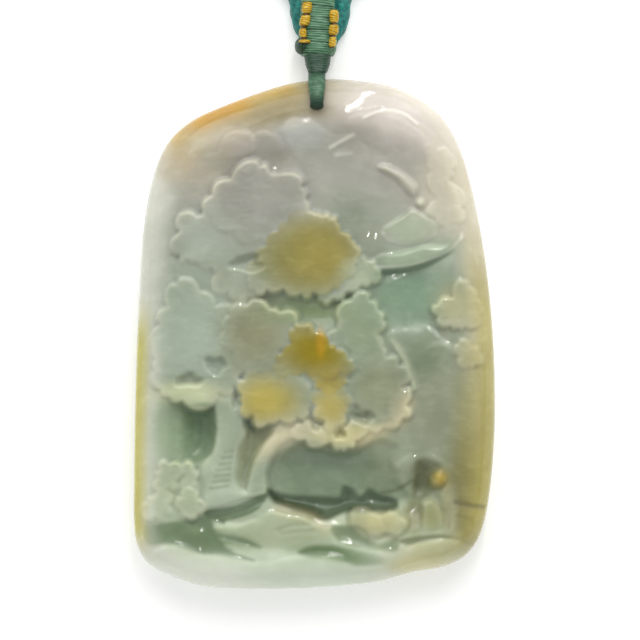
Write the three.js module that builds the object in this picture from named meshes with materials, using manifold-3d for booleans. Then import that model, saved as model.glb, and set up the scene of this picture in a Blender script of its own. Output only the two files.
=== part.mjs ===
// A carved jade plaque on a thread-bound loop, with its bound knot and braided necklace cord.
// Millimetres, +Z up. The plaque lies on its back, its carved face up and its hole towards +Y.
// The origin is the middle of the plaque's flat back.

import * as THREE from 'three';
import Module from 'manifold-3d';
import { mergeVertices } from 'three/addons/utils/BufferGeometryUtils.js';

const wasm = await Module();
wasm.setup();

// Driving dimensions of the plaque's section
const EDGE_Z = 4;
const BACK_ROUND = 8;
const FRONT_ROUND = 5;
const FRONT_RISE = 3.9;
const CROWN_RISE = 1.1;
const CROWN_REACH = 18;
const RIM = { side: 4, top: 6.2, bottom: 4.7, lip: 1.4 };
const FLOOR_Z = 5;
const SPINE_HALF = 13;
const OUTLINE_STEPS = 60;

// Driving dimensions of the relief
const RELIEF_BASE = 3.2;
const RELIEF_PROUD = 0.4;
const RELIEF_EDGE = 0.6;
const LOBE = { length: 1.7, depth: 0.46, inset: 0.6, steps: 4 };
const FORM_STEP = 1.55;
const SKY = { fromY: 7, toY: 27, rise: 1.5 };

// The hole slants from the face to nearer the top edge on the back, so that the loop clears the table
const HOLE = { diameter: 2.6, x: 0.3, faceY: 28.7, backY: 30.6, sides: 16 };

// Thread-bound loop, knot and cord
const LOOP = { width: 2.2, thickness: 1.1, sides: 8, steps: 26 };
const KNOT_X = 0.4;
const KNOT_SIDES = 16;
const GOLD = { width: 1.3, thickness: 0.5, lift: 5.1 };
const CORD = { diameter: 2.4, sides: 8, steps: 8 };
const COIL = { x: 0.75, y: 63.5, inner: 7.7, outer: 18.3, height: 4.8, chamfer: 0.9, sides: 24 };

const PLAQUE_OUTLINE = [
  [2.2, 32.5], [6.3, 32.2], [10.4, 31.4], [14.5, 29.2], [16.5, 27.3], [18.5, 23.7], [19.9, 19.1],
  [21.2, 13], [22.1, 6.9], [22.8, -1.3], [23, -8.4], [22.9, -13.5], [22.4, -19.6], [21.6, -24],
  [20.7, -26.4], [19.1, -28.3], [16.6, -29.6], [12.6, -30.3], [10.5, -30.9], [8.3, -31.5],
  [4.3, -32], [-1.8, -32.4], [-8, -32.5], [-13.7, -32.2], [-16.5, -31.5], [-20.1, -30],
  [-21.7, -28.7], [-22.7, -26.5], [-23, -23.7], [-23, -18.6], [-22.9, -11], [-22.6, -0.8],
  [-22.2, 6.9], [-21.7, 14], [-20.8, 19.1], [-19.4, 23.1], [-17.8, 25.4], [-15.4, 27.3],
  [-12.2, 28.8], [-6.9, 30.8], [-3.6, 31.8], [-0.8, 32.3],
];

// Leaf pads of the tree and the bushes: the height of the top, and the middle line of the lobed edge
const LEAF_PADS = {
  crownTop: { top: 8.1, edge: [[-6.7, 21.9], [-9.5, 20.6], [-11.8, 19.2], [-13.6, 17.3], [-13.8, 15.5],
    [-11, 13], [-6.7, 11.5], [-1.8, 13.8], [-0.7, 16.7], [-1.6, 19.4], [-3.6, 19.8], [-5.4, 20.6]] },
  crownLeft: { top: 7.7, edge: [[-14.6, 15.2], [-16.5, 14.7], [-17.4, 12.7], [-17.8, 10.7], [-16.6, 8.9],
    [-14.2, 9.8], [-12.9, 8.2], [-10.8, 8.4], [-10, 9.9], [-6.7, 10.5], [-6.7, 13], [-10.5, 15.5]] },
  crownTuft: { top: 7.2, edge: [[-12.4, 7.9], [-12.2, 5.6], [-10.8, 4.8], [-8.9, 4.2], [-7.3, 5.2],
    [-6.4, 6.9], [-7.5, 8.4], [-10, 8.9]] },
  goldUpper: { top: 8.8, edge: [[-6.7, 11.5], [-3.9, 14], [-0.3, 15.7], [2.5, 15.2], [4.5, 13.3],
    [6.1, 10.7], [7.6, 9.2], [7.3, 7], [4.3, 6.5], [2, 6.1], [-1.6, 4.6], [-4.4, 5.1], [-6.7, 5.9],
    [-8.1, 7.9]] },
  leftCrown: { top: 7.6, edge: [[-17.7, 6.8], [-18.9, 4.1], [-19.9, 1.8], [-20.2, -1.4], [-20.6, -4.8],
    [-19.8, -7.4], [-17.9, -8.7], [-14.2, -8.9], [-12, -7.9], [-10.3, -6.6], [-10.5, -4.1],
    [-9.5, -1.8], [-10, 1.5], [-12.6, 4.3], [-15.4, 6.4]] },
  middleCrown: { top: 7.9, edge: [[-11.8, 0.5], [-10.8, 2.8], [-8.2, 4], [-4.9, 3.3], [-2.4, 2], [-3.1, 0],
    [-4.4, -2.3], [-5.9, -4.8], [-8.7, -5.1], [-9.8, -3.1], [-11.3, -2]] },
  goldLower: { top: 8.9, edge: [[-2.9, 1.4], [-0.3, 1], [2, 0.5], [4.1, -1], [5.4, -2.8], [4.8, -4.6],
    [1.7, -5], [-1.2, -5.2], [-4, -5.5], [-5.3, -3.8], [-4.7, -1.3]] },
  goldTail: { top: 8.5, edge: [[-0.2, -4.1], [3.9, -4.1], [4.1, -6.4], [2.2, -7.5], [0.2, -6.9]] },
  goldBase: { top: 8.3, edge: [[-9, -5.6], [-5.4, -4.6], [-1.3, -5.6], [-0.2, -7.9], [-1.3, -10.5],
    [-4.4, -11.1], [-7.1, -11.5], [-8.9, -10.1], [-9.5, -7.6]] },
  rightCrown: { top: 8.3, edge: [[4.5, 4.5], [6.6, 5.1], [8.3, 3.4], [9.1, 1.5], [8.3, -0.3], [9.1, -2],
    [7.6, -4.7], [5.3, -4.8], [4.5, -2.3], [3.5, -0.3], [3.2, 2.5]] },
  rightLower: { top: 8, edge: [[7.1, -2.8], [9.9, -2.9], [11.8, -5.4], [11.9, -8.4], [11.9, -10.6],
    [10.1, -11.1], [7.3, -9.9], [4.8, -8.7], [4, -6.4], [4.8, -4.6]] },
  goldDrop: { top: 8.2, edge: [[0.4, -6.9], [4, -7.1], [4.4, -9.4], [3.2, -11.5], [2, -12.1],
    [0.4, -10.5], [-0.1, -8.4]] },
  lowerFringe: { top: 7.7, edge: [[-1.8, -11.2], [1.5, -12], [4.5, -11.5], [7.8, -10.2], [10.4, -11],
    [8.6, -12.2], [6.1, -12.9], [5, -14.4], [3.2, -15], [1.5, -13.9], [-0.8, -13.9], [-2.4, -12.7]] },
  leftBush: { top: 7.7, edge: [[-19.7, -16.3], [-17.7, -16.2], [-16.1, -16.4], [-14.6, -17.3],
    [-14.2, -19.9], [-14.6, -22.4], [-17.1, -23.2], [-19.9, -23.2], [-21.9, -23.5], [-21.5, -20.9],
    [-19.9, -19.5], [-20.2, -17.8]] },
  rightBush: { top: 7.3, edge: [[18.8, 7], [20.3, 4.8], [20.7, 1.8], [18.3, 0.5], [15.5, 1.8],
    [15.2, 3.8], [17.3, 4.8]] },
  rightSprig: { top: 7.2, edge: [[18, -1], [19.8, -1.3], [21, -2.8], [20.1, -4.3], [18.5, -3.8]] },
};

// Plain carved forms: the height of the top, the width of the rounded shoulder and the edge
const FORMS = {
  skyRidge: { top: 6.9, shoulder: 0.5, edge: [[-4.1, 26], [-3, 27.1], [-0.3, 26.8], [2.5, 25.2], [5, 25.1],
    [6.8, 22.7], [5.3, 18.9], [2.7, 13.8], [-0.3, 16.3], [-1.1, 20.6], [-3.1, 23.5]] },
  cliffRidge: { top: 7.2, shoulder: 0.5, edge: [[4, 27], [7.3, 28.2], [10.9, 28], [13.4, 26.8], [16, 24],
    [15.5, 20.1], [13.2, 18.4], [10.4, 21.4], [7.6, 24], [5, 25.2]] },
  cloudLeft: { top: 6.9, shoulder: 0.3, edge: [[-15, 20.6], [-13.8, 22.6], [-12.2, 23.1], [-11.5, 25.2],
    [-10, 25.9], [-8, 25.2], [-7.5, 23.5], [-8.7, 22.6], [-10.8, 22.2], [-12.6, 21]] },
  cloudMiddle: { top: 6.8, shoulder: 0.3, edge: [[-8, 23.5], [-7.8, 25], [-6.4, 25.6], [-4.7, 25],
    [-3.9, 23.5], [-5.7, 22.4]] },
  cloudRight: { top: 7.2, shoulder: 0.4, edge: [[15, 22.9], [16.8, 23.5], [17.7, 21.2], [17.4, 18.9],
    [18.7, 16.8], [18.4, 14.4], [16.5, 13.8], [14.5, 15.3], [15.2, 17.3], [14.5, 20.1]] },
  roofTop: { top: 7.4, shoulder: 0.3, edge: [[12.4, 15.8], [13.4, 15], [14.7, 13.9], [16, 13.3], [15.7, 12.4],
    [14, 11.6], [11.7, 11.2], [9.6, 11.6], [8.2, 13], [10.1, 13.9], [11.4, 15]] },
  roofEave: { top: 7.6, shoulder: 0.2, edge: [[7.6, 9.8], [10.9, 10.3], [14, 11.2], [16.2, 11.2], [17.8, 12],
    [18.7, 12.9], [18.9, 12.1], [17, 10.3], [14.1, 9], [11.2, 8.3], [7.7, 8.3]] },
  fingerCloud: { top: 7, shoulder: 0.3, edge: [[8, 21.2], [8.9, 21.5], [10.5, 20.9], [12, 20], [13.2, 18.7],
    [12.6, 17.5], [11.7, 18.1], [10.5, 19.5], [9.1, 20.4]] },
  bankRight: { top: 6.3, shoulder: 0.8, edge: [[9.6, -0.1], [12.4, 0.9], [14.3, 1], [16, -0.5], [18, -1.8],
    [19.8, -4.1], [21, -8.4], [21.1, -17.3], [20.6, -21.2], [17.3, -21.2], [16, -17.3], [13.4, -15],
    [10.6, -14.5], [11.2, -11.5], [12.4, -8.7], [12.4, -5.9]] },
  vine: { top: 7, shoulder: 0.2, edge: [[9.5, -0.5], [10.4, -1], [11.7, -2.8], [12.6, -4.8], [13.1, -7.1],
    [12.4, -7.4], [11.7, -5.1], [10.6, -3.1]] },
  trunk: { top: 7.5, shoulder: 0.5, edge: [[-12.6, -7.6], [-9.5, -7.6], [-8.6, -10.7], [-8.6, -13], [-9.5, -15],
    [-9.9, -17.3], [-9.4, -19.4], [-8, -19.9], [-6.2, -19.4], [-5.9, -20.4], [-8.5, -21], [-11.4, -21.9],
    [-14.2, -22.4], [-14.2, -19.6], [-14.6, -16.7], [-13.2, -15], [-12.6, -12.2]] },
  branch: { top: 7.3, shoulder: 0.6, edge: [[-8.7, -20.4], [-8.5, -17.6], [-7.5, -15], [-5.9, -13], [-3.9, -11.9],
    [-1.1, -11], [2, -11.7], [1.5, -14], [-0.6, -13.9], [-2, -13.4], [-3.6, -14], [-4.9, -15.5],
    [-5.8, -17.6], [-5.9, -20.1]] },
  mound: { top: 7.2, shoulder: 0.3, edge: [[-13.1, -24.5], [-11.9, -23.6], [-9, -24.1], [-6.4, -22.8], [-3.6, -22],
    [-0.6, -23.2], [1.5, -25], [3.2, -26.1], [5.8, -26.4], [6.4, -27.1], [3.2, -27.5], [-0.6, -27],
    [-2.1, -27.8],
    [-6.7, -27.3], [-9.8, -26.4], [-12.6, -25.1]] },
  bankLeft: { top: 6.8, shoulder: 0.4, edge: [[-21.9, -25], [-18.4, -23.7], [-15.1, -24.5], [-13.1, -25.7],
    [-13.8, -27], [-17.1, -26.3], [-21, -26.9]] },
  rock: { top: 7.8, shoulder: 0.5, edge: [[4.3, -22.9], [5.5, -21.8], [7.2, -21.9], [8.3, -22.6], [10, -22.2],
    [11.4, -23.2], [11.9, -24.3], [11.2, -25.4], [9.6, -25.5], [8.1, -25.7], [6.3, -25.1], [4.8, -24]] },
  stoneTable: { top: 7.3, shoulder: 0.4, edge: [[13.7, -21.2], [14.8, -20.8], [15.7, -21.5], [16.3, -23.2],
    [16.3, -24.5], [15.2, -25], [13.8, -25], [13.6, -22.9]] },
  robe: { top: 7.6, shoulder: 0.4, edge: [[16.1, -19.4], [17.1, -18.4], [17.8, -19.9], [18.2, -22.2], [17.9, -25.2],
    [16.8, -25.4], [16.5, -22.9], [15.7, -21.4], [15.6, -20.3]] },
  shelfRight: { top: 7.3, shoulder: 0.4, edge: [[11.4, -27.8], [13.2, -26.5], [17, -26.1], [19.8, -27.4],
    [18, -28.8], [14.7, -29.6], [11.9, -29.3]] },
};

// The sky behind the crown slopes up to the rim at the top
const SKY_EDGE = [[-17, 7], [-17.2, 14], [-15.6, 20], [-11, 25.4], [-3, 27.6], [6, 28], [12, 26.4],
  [15.8, 21], [17.4, 14], [17.8, 7]];

// Round bosses: the scholar's head and a small pearl of cloud
const BOSSES = [
  { radius: 1.15, x: 15.7, y: -18.4, z: 6.9 },
  { radius: 0.55, x: 13.4, y: 16.6, z: 6.2 },
];

// Hollows cut deeper than the ground of the relief: beside the trunk, and the cave under the branch
const HOLLOWS = [
  { x: -16.4, y: -12.6, reach: [3.6, 4.1, 1.5] },
  { x: 1.3, y: -18.4, reach: [7.6, 4.5, 1.7] },
];

// The loop's middle line around the top bar of the plaque, as (y, z)
const LOOP_PATH = [
  [33.25, 4.1], [33, 5.3], [32.35, 6.6], [31.1, 7.7], [30, 8.3], [29.2, 8], [29.05, 7], [29.4, 5],
  [29.95, 2.9], [30.3, 1.5], [31, 0.75], [32, 1.05], [32.85, 2.1], [33.2, 3.1],
];

// Sections across the knot from the loop upwards: place, width, underside and top
const KNOT_BODY = [
  { y: 34.1, width: 2.6, low: 2.6, high: 5 },
  { y: 35.3, width: 3.2, low: 1.2, high: 4.9 },
  { y: 35.8, width: 5.1, low: 0.3, high: 4.8 },
  { y: 36.6, width: 5.2, low: 0.1, high: 4.8 },
  { y: 38, width: 5.1, low: 0.1, high: 4.8 },
];
const KNOT_BAND = [
  { y: 37.2, width: 5, low: 2.7, high: 4.8 },
  { y: 40, width: 4.8, low: 2.7, high: 4.8 },
  { y: 42.2, width: 4.3, low: 2.7, high: 4.6 },
];

// Middle lines of the two gold thread columns on the knot
const GOLD_COLUMNS = {
  gold_thread_left: [[-1.15, 37], [-1.2, 39], [-1, 40.6], [-0.8, 42]],
  gold_thread_right: [[2.2, 36.4], [2.3, 38.2], [2.35, 39.8], [2.3, 41.2]],
};

// The necklace cord lies on the table from the knot to the coil
const CORD_LEADS = {
  necklace_cord_left: [[-1.05, 38.8], [-1.5, 39.8], [-1.85, 40.8], [-2.1, 41.9], [-2.5, 43.1], [-3.2, 44.2]],
  necklace_cord_right: [[2.65, 38.8], [3.1, 39.8], [3.4, 40.8], [3.6, 41.9], [3.95, 43.1], [4.6, 44.2]],
};

const COLOURS = {
  jade: new THREE.MeshStandardMaterial({ color: 0xbfc7b2, roughness: 0.25, metalness: 0 }),
  thread: new THREE.MeshStandardMaterial({ color: 0x5f8c73, roughness: 0.6, metalness: 0 }),
  gold: new THREE.MeshStandardMaterial({ color: 0xe0a824, roughness: 0.4, metalness: 0.2 }),
  cord: new THREE.MeshStandardMaterial({ color: 0x1f7872, roughness: 0.7, metalness: 0 }),
};

// Solids and meshes

function solidOf(geometry) {
  geometry.deleteAttribute('normal');
  geometry.deleteAttribute('uv');
  const merged = mergeVertices(geometry, 1e-4);
  return new wasm.Manifold(new wasm.Mesh({
    numProp: 3,
    vertProperties: Float32Array.from(merged.attributes.position.array),
    triVerts: Uint32Array.from(merged.index.array),
  }));
}

function geometryOf(solid) {
  const mesh = solid.getMesh();
  const geometry = new THREE.BufferGeometry();
  geometry.setAttribute('position', new THREE.BufferAttribute(Float32Array.from(mesh.vertProperties), 3));
  geometry.setIndex(Array.from(mesh.triVerts));
  geometry.computeVertexNormals();
  return geometry;
}

function bandFaces(count, lower, upper) {
  const faces = [];
  for (let i = 0; i < count; i += 1) {
    const next = (i + 1) % count;
    faces.push(lower + i, lower + next, upper + next, lower + i, upper + next, upper + i);
  }
  return faces;
}

// Rings of equal count, counter-clockwise seen along the way they are stacked, closed at both ends.
// The ends are convex, unless the corners of each of their triangles are given.
function loft(rings, endFaces = convexFaces(rings[0].length)) {
  const count = rings[0].length;
  const last = (rings.length - 1) * count;
  const faces = [];
  for (let level = 0; level + 1 < rings.length; level += 1) {
    faces.push(...bandFaces(count, level * count, (level + 1) * count));
  }
  for (const [a, b, c] of endFaces) {
    faces.push(c, b, a, last + a, last + b, last + c);
  }
  return indexed(rings, faces);
}

function convexFaces(count) {
  return Array.from({ length: count - 2 }, (_, i) => [0, i + 1, i + 2]);
}

// Triangles over a ring that may be hollow in places, all counter-clockwise
function hollowFaces(ring) {
  return THREE.ShapeUtils.triangulateShape(ring, []).map(([a, b, c]) => {
    const turn = ring[b].clone().sub(ring[a]).cross(ring[c].clone().sub(ring[a]));
    return turn > 0 ? [a, b, c] : [a, c, b];
  });
}

// Rings joined end to end around a closed path
function wreath(rings) {
  const count = rings[0].length;
  const faces = [];
  rings.forEach((ring, level) => {
    faces.push(...bandFaces(count, level * count, ((level + 1) % rings.length) * count));
  });
  return indexed(rings, faces);
}

function indexed(rings, faces) {
  const geometry = new THREE.BufferGeometry().setFromPoints(rings.flat());
  geometry.setIndex(faces);
  return geometry;
}

// Curves of the carving

function closedRing(points, count) {
  const corners = points.map(([x, y]) => new THREE.Vector3(x, y, 0));
  const curve = new THREE.CatmullRomCurve3(corners, true, 'centripetal');
  const total = typeof count === 'function' ? count(curve.getLength()) : count;
  const ring = curve.getSpacedPoints(total).slice(0, total).map((p) => new THREE.Vector2(p.x, p.y));
  return THREE.ShapeUtils.isClockWise(ring) ? ring.reverse() : ring;
}

function outwardAt(ring, i) {
  const before = ring[(i + ring.length - 1) % ring.length];
  const after = ring[(i + 1) % ring.length];
  return new THREE.Vector2(after.y - before.y, before.x - after.x).normalize();
}

function lobedRing(points) {
  const ring = closedRing(points, (length) => Math.round(length / LOBE.length) * LOBE.steps);
  return ring.map((point, i) => {
    const swell = Math.abs(Math.sin((Math.PI * i) / LOBE.steps)) - LOBE.inset;
    return point.clone().addScaledVector(outwardAt(ring, i), LOBE.depth * swell);
  });
}

function smoothRing(points) {
  return closedRing(points, (length) => Math.round(length / FORM_STEP));
}

function raised(ring, top, shoulder) {
  const inner = ring.map((point, i) => point.clone().addScaledVector(outwardAt(ring, i), -shoulder));
  const levels = [[ring, RELIEF_BASE], [ring, top - shoulder]];
  if (shoulder > 0) {
    levels.push([inner, top]);
  }
  const rings = levels.map(([points, z]) => points.map((point) => new THREE.Vector3(point.x, point.y, z)));
  return loft(rings, hollowFaces(ring));
}

// The plaque's blank: rings moved in from the outline towards an upright spine

const outline = closedRing(PLAQUE_OUTLINE, OUTLINE_STEPS);

function backHeight(inset) {
  const reach = Math.max(0, 1 - inset / BACK_ROUND);
  return EDGE_Z * (1 - Math.sqrt(1 - reach * reach));
}

function frontHeight(inset) {
  const reach = Math.max(0, 1 - inset / FRONT_ROUND);
  const rest = 1 - Math.min(1, Math.max(0, (inset - FRONT_ROUND) / (CROWN_REACH - FRONT_ROUND)));
  return EDGE_Z + FRONT_RISE * Math.sqrt(1 - reach * reach) + CROWN_RISE * (1 - rest * rest);
}

function rimWidth(point) {
  const end = point.y > 0 ? RIM.top : RIM.bottom;
  const towardsEnd = THREE.MathUtils.smoothstep(Math.abs(point.y), SPINE_HALF, 2 * SPINE_HALF);
  return THREE.MathUtils.lerp(RIM.side, end, towardsEnd);
}

function insetRing(insetAt, heightAt) {
  return outline.map((point) => {
    const spine = new THREE.Vector2(0, THREE.MathUtils.clamp(point.y, -SPINE_HALF, SPINE_HALF));
    const inset = insetAt(point);
    const moved = spine.sub(point).setLength(inset).add(point);
    return new THREE.Vector3(moved.x, moved.y, heightAt(inset));
  });
}

function blank() {
  const backInsets = [BACK_ROUND, 5.2, 2.8, 1.1, 0.25];
  const frontInsets = [0, 0.25, 1, 2.2, 3.6];
  return loft([
    ...backInsets.map((inset) => insetRing(() => inset, backHeight)),
    ...frontInsets.map((inset) => insetRing(() => inset, frontHeight)),
    insetRing(rimWidth, frontHeight),
    insetRing((point) => rimWidth(point) + RIM.lip, () => FLOOR_Z),
  ]);
}

// The carving stays under this cushion, which stands just proud of the rim
function cushion() {
  const insets = [RELIEF_EDGE, 1.2, 2.2, 3.6, FRONT_ROUND, 9, 13];
  return loft([
    insetRing(() => RELIEF_EDGE, () => RELIEF_BASE - RELIEF_PROUD),
    ...insets.map((inset) => insetRing(() => inset, (depth) => frontHeight(depth) + RELIEF_PROUD)),
  ]);
}

function sky() {
  const geometry = raised(smoothRing(SKY_EDGE), FLOOR_Z, 0);
  const position = geometry.attributes.position;
  for (let i = 0; i < position.count; i += 1) {
    if (position.getZ(i) > (RELIEF_BASE + FLOOR_Z) / 2) {
      const share = THREE.MathUtils.clamp((position.getY(i) - SKY.fromY) / (SKY.toY - SKY.fromY), 0, 1);
      position.setZ(i, FLOOR_Z + SKY.rise * share);
    }
  }
  return geometry;
}

function boss({ radius, x, y, z }) {
  return new THREE.SphereGeometry(radius, 10, 6).translate(x, y, z);
}

function hollow({ x, y, reach }) {
  return new THREE.SphereGeometry(1, 16, 8).scale(...reach).translate(x, y, FLOOR_Z);
}

function bore() {
  const face = new THREE.Vector3(HOLE.x, HOLE.faceY, 2 * EDGE_Z + 1);
  const back = new THREE.Vector3(HOLE.x, HOLE.backY, 0);
  const along = face.clone().sub(back);
  const radius = HOLE.diameter / 2;
  const geometry = new THREE.CylinderGeometry(radius, radius, 2 * along.length(), HOLE.sides);
  const turn = new THREE.Quaternion().setFromUnitVectors(THREE.Object3D.DEFAULT_UP, along.clone().normalize());
  return geometry.applyQuaternion(turn).translate(HOLE.x, (face.y + back.y) / 2, face.z / 2);
}

function carvedPlaque() {
  const pieces = [
    sky(),
    ...Object.values(FORMS).map((form) => raised(smoothRing(form.edge), form.top, form.shoulder)),
    ...Object.values(LEAF_PADS).map((pad) => raised(lobedRing(pad.edge), pad.top, 0)),
    ...BOSSES.map(boss),
  ];
  const relief = pieces.map(solidOf).reduce((whole, piece) => whole.add(piece)).intersect(solidOf(cushion()));
  const ground = HOLLOWS.reduce((whole, cut) => whole.subtract(solidOf(hollow(cut))), solidOf(blank()));
  return ground.add(relief).subtract(solidOf(bore()));
}

// Loop, knot, gold thread and cord

function hangingLoop() {
  const corners = LOOP_PATH.map(([y, z]) => new THREE.Vector3(HOLE.x, y, z));
  const path = new THREE.CatmullRomCurve3(corners, true, 'centripetal');
  const rings = [];
  for (let step = 0; step < LOOP.steps; step += 1) {
    const middle = path.getPointAt(step / LOOP.steps);
    const along = path.getTangentAt(step / LOOP.steps);
    const across = new THREE.Vector3(0, along.z, -along.y);
    rings.push(Array.from({ length: LOOP.sides }, (_, side) => {
      const angle = (2 * Math.PI * side) / LOOP.sides;
      return middle.clone()
        .add(new THREE.Vector3((LOOP.width / 2) * Math.cos(angle), 0, 0))
        .addScaledVector(across, (LOOP.thickness / 2) * Math.sin(angle));
    }));
  }
  return wreath(rings);
}

// A section with round corners, counter-clockwise seen looking back along Y
function knotSection({ y, width, low, high }) {
  return Array.from({ length: KNOT_SIDES }, (_, side) => {
    const angle = (2 * Math.PI * side) / KNOT_SIDES;
    const squared = (value) => Math.sign(value) * Math.sqrt(Math.abs(value));
    const x = KNOT_X + (width / 2) * squared(Math.cos(angle));
    const z = (low + high) / 2 + ((high - low) / 2) * squared(Math.sin(angle));
    return new THREE.Vector3(x, y, z);
  }).reverse();
}

function boundKnot() {
  const body = solidOf(loft(KNOT_BODY.map(knotSection)));
  return body.add(solidOf(loft(KNOT_BAND.map(knotSection))));
}

function sweptAlong(section, points, height, steps) {
  const corners = points.map(([x, y]) => new THREE.Vector3(x, y, height));
  const geometry = new THREE.ExtrudeGeometry(section, {
    steps,
    extrudePath: new THREE.CatmullRomCurve3(corners, false, 'centripetal'),
  });
  return geometry;
}

function ovalSection(width, thickness, sides) {
  const corners = Array.from({ length: sides }, (_, side) => {
    const angle = (2 * Math.PI * (side + 0.5)) / sides;
    return new THREE.Vector2((thickness / 2) * Math.cos(angle), (width / 2) * Math.sin(angle));
  });
  return new THREE.Shape(corners);
}

function goldThread(points) {
  const middle = GOLD.lift + GOLD.thickness / 2;
  return sweptAlong(ovalSection(GOLD.width, GOLD.thickness, CORD.sides), points, middle, points.length);
}

function cordLead(points) {
  const section = ovalSection(CORD.diameter, CORD.diameter, CORD.sides);
  return sweptAlong(section, points, CORD.diameter / 2, CORD.steps);
}

function necklaceCoil() {
  const { inner, outer, height, chamfer } = COIL;
  const profile = [
    [inner, chamfer], [inner + chamfer, 0], [outer - chamfer, 0], [outer, chamfer],
    [outer, height - chamfer], [outer - chamfer, height], [inner + chamfer, height],
    [inner, height - chamfer], [inner, chamfer],
  ].map(([radius, z]) => new THREE.Vector2(radius, z));
  return new THREE.LatheGeometry(profile, COIL.sides).rotateX(Math.PI / 2);
}

// The assembled object

const plaque = new THREE.Group();

function addMesh(name, geometry, material) {
  const mesh = new THREE.Mesh(geometry, material);
  mesh.name = name;
  plaque.add(mesh);
  return mesh;
}

addMesh('jade_plaque', geometryOf(carvedPlaque()), COLOURS.jade);
addMesh('hanging_loop', hangingLoop(), COLOURS.thread);
addMesh('bound_knot', geometryOf(boundKnot()), COLOURS.thread);
for (const [name, points] of Object.entries(GOLD_COLUMNS)) {
  addMesh(name, goldThread(points), COLOURS.gold);
}
for (const [name, points] of Object.entries(CORD_LEADS)) {
  addMesh(name, cordLead(points), COLOURS.cord);
}
addMesh('necklace_coil', necklaceCoil(), COLOURS.cord).position.set(COIL.x, COIL.y, 0);

export default plaque;
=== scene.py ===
"""Dressed model of a carved jade plaque with its bound knot and braided necklace cord.

Metres, +Z up. The plaque lies on its back with the carved face up. Sizes of the carving and of the
threads are listed in millimetres, as a carver measures them, and MM turns them into metres.
"""

import logging
import math
from dataclasses import dataclass
from enum import Enum
from typing import Sequence

import bpy
import numpy as np
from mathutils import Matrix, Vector


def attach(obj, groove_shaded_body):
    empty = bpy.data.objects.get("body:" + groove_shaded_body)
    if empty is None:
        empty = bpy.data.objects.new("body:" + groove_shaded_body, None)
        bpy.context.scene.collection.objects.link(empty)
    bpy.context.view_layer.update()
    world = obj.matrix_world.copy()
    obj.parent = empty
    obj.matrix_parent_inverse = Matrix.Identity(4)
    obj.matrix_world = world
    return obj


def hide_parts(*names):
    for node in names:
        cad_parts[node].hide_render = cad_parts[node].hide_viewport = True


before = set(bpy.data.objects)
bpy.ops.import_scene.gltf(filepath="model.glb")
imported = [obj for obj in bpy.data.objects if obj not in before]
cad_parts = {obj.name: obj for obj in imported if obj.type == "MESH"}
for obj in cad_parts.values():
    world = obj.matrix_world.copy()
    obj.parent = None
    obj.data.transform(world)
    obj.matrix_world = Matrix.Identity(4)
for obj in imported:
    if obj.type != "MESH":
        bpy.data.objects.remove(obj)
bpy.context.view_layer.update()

MM = 0.001
OUTSIDE = -9.0
LOG = logging.getLogger("jade_plaque")

Array = np.ndarray
Tree = bpy.types.ShaderNodeTree
Socket = bpy.types.NodeSocket
Colour = tuple[float, float, float]
Points = tuple[tuple[float, ...], ...]
Ball = tuple[float, float, float, float]


# Colours and node helpers

def tone(red: int, green: int, blue: int) -> Colour:
    """A colour as the eye reads it, 0 to 255, in the shader's linear values."""
    shares = (value / 255 for value in (red, green, blue))
    return tuple(s / 12.92 if s <= 0.04045 else ((s + 0.055) / 1.055) ** 2.4 for s in shares)


def new_material(name: str) -> tuple[bpy.types.Material, Tree, bpy.types.Node]:
    """An empty node material with its main shader.

    Args:
        name: Name of the material.

    Returns:
        The material, its node tree and its Principled shader.
    """
    material = bpy.data.materials.new(name)
    material.use_nodes = True
    tree = material.node_tree
    return material, tree, tree.nodes["Principled BSDF"]


def add_node(tree: Tree, kind: str, settings: dict | None = None,
             inputs: dict | None = None) -> bpy.types.Node:
    """Add a node with its settings and input values.

    Args:
        tree: Node tree of the material.
        kind: Type of node, without its ShaderNode prefix.
        settings: Properties of the node by name.
        inputs: Socket values by name or number; a socket given as a value is linked.

    Returns:
        The new node.
    """
    node = tree.nodes.new("ShaderNode" + kind)
    for name, value in (settings or {}).items():
        setattr(node, name, value)
    for name, value in (inputs or {}).items():
        if isinstance(value, Socket):
            tree.links.new(value, node.inputs[name])
        else:
            node.inputs[name].default_value = value
    return node


def object_noise(tree: Tree, scale: float, detail: float,
                 stretch: Sequence[float] = (1, 1, 1), distortion: float = 0.0) -> Socket:
    """Noise fixed to the piece.

    Args:
        tree: Node tree of the material.
        scale: Repeats in a metre.
        detail: Octaves of finer noise.
        stretch: Factors on the three axes.
        distortion: How far the noise swirls.

    Returns:
        The noise value's socket.
    """
    place = add_node(tree, "TexCoord").outputs["Object"]
    mapped = add_node(tree, "Mapping", inputs={"Vector": place, "Scale": stretch}).outputs["Vector"]
    noise = add_node(tree, "TexNoise", inputs={
        "Vector": mapped, "Scale": scale, "Detail": detail, "Distortion": distortion})
    return noise.outputs["Fac"]


def spread(tree: Tree, value: Socket, low: float, high: float,
           start: float = 0.3, end: float = 0.7) -> Socket:
    """Map a noise value, so that start gives low and end gives high."""
    node = add_node(tree, "MapRange", inputs={
        "Value": value, "From Min": start, "From Max": end, "To Min": low, "To Max": high})
    return node.outputs["Result"]


def blend_colours(tree: Tree, share: Socket, first: object,
                  second: object, mode: str = "MIX") -> Socket:
    """Mix two colours.

    Args:
        tree: Node tree of the material.
        share: Share of the second colour.
        first: Colour or socket.
        second: Colour or socket.
        mode: Blend mode of the Mix node.

    Returns:
        The mixed colour's socket.
    """
    node = add_node(tree, "Mix", {"data_type": "RGBA", "blend_type": mode})
    tree.links.new(share, node.inputs["Factor"])
    for number, colour in ((6, first), (7, second)):
        if isinstance(colour, Socket):
            tree.links.new(colour, node.inputs[number])
        else:
            node.inputs[number].default_value = (*colour, 1)
    return node.outputs[2]


# Finishes

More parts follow.
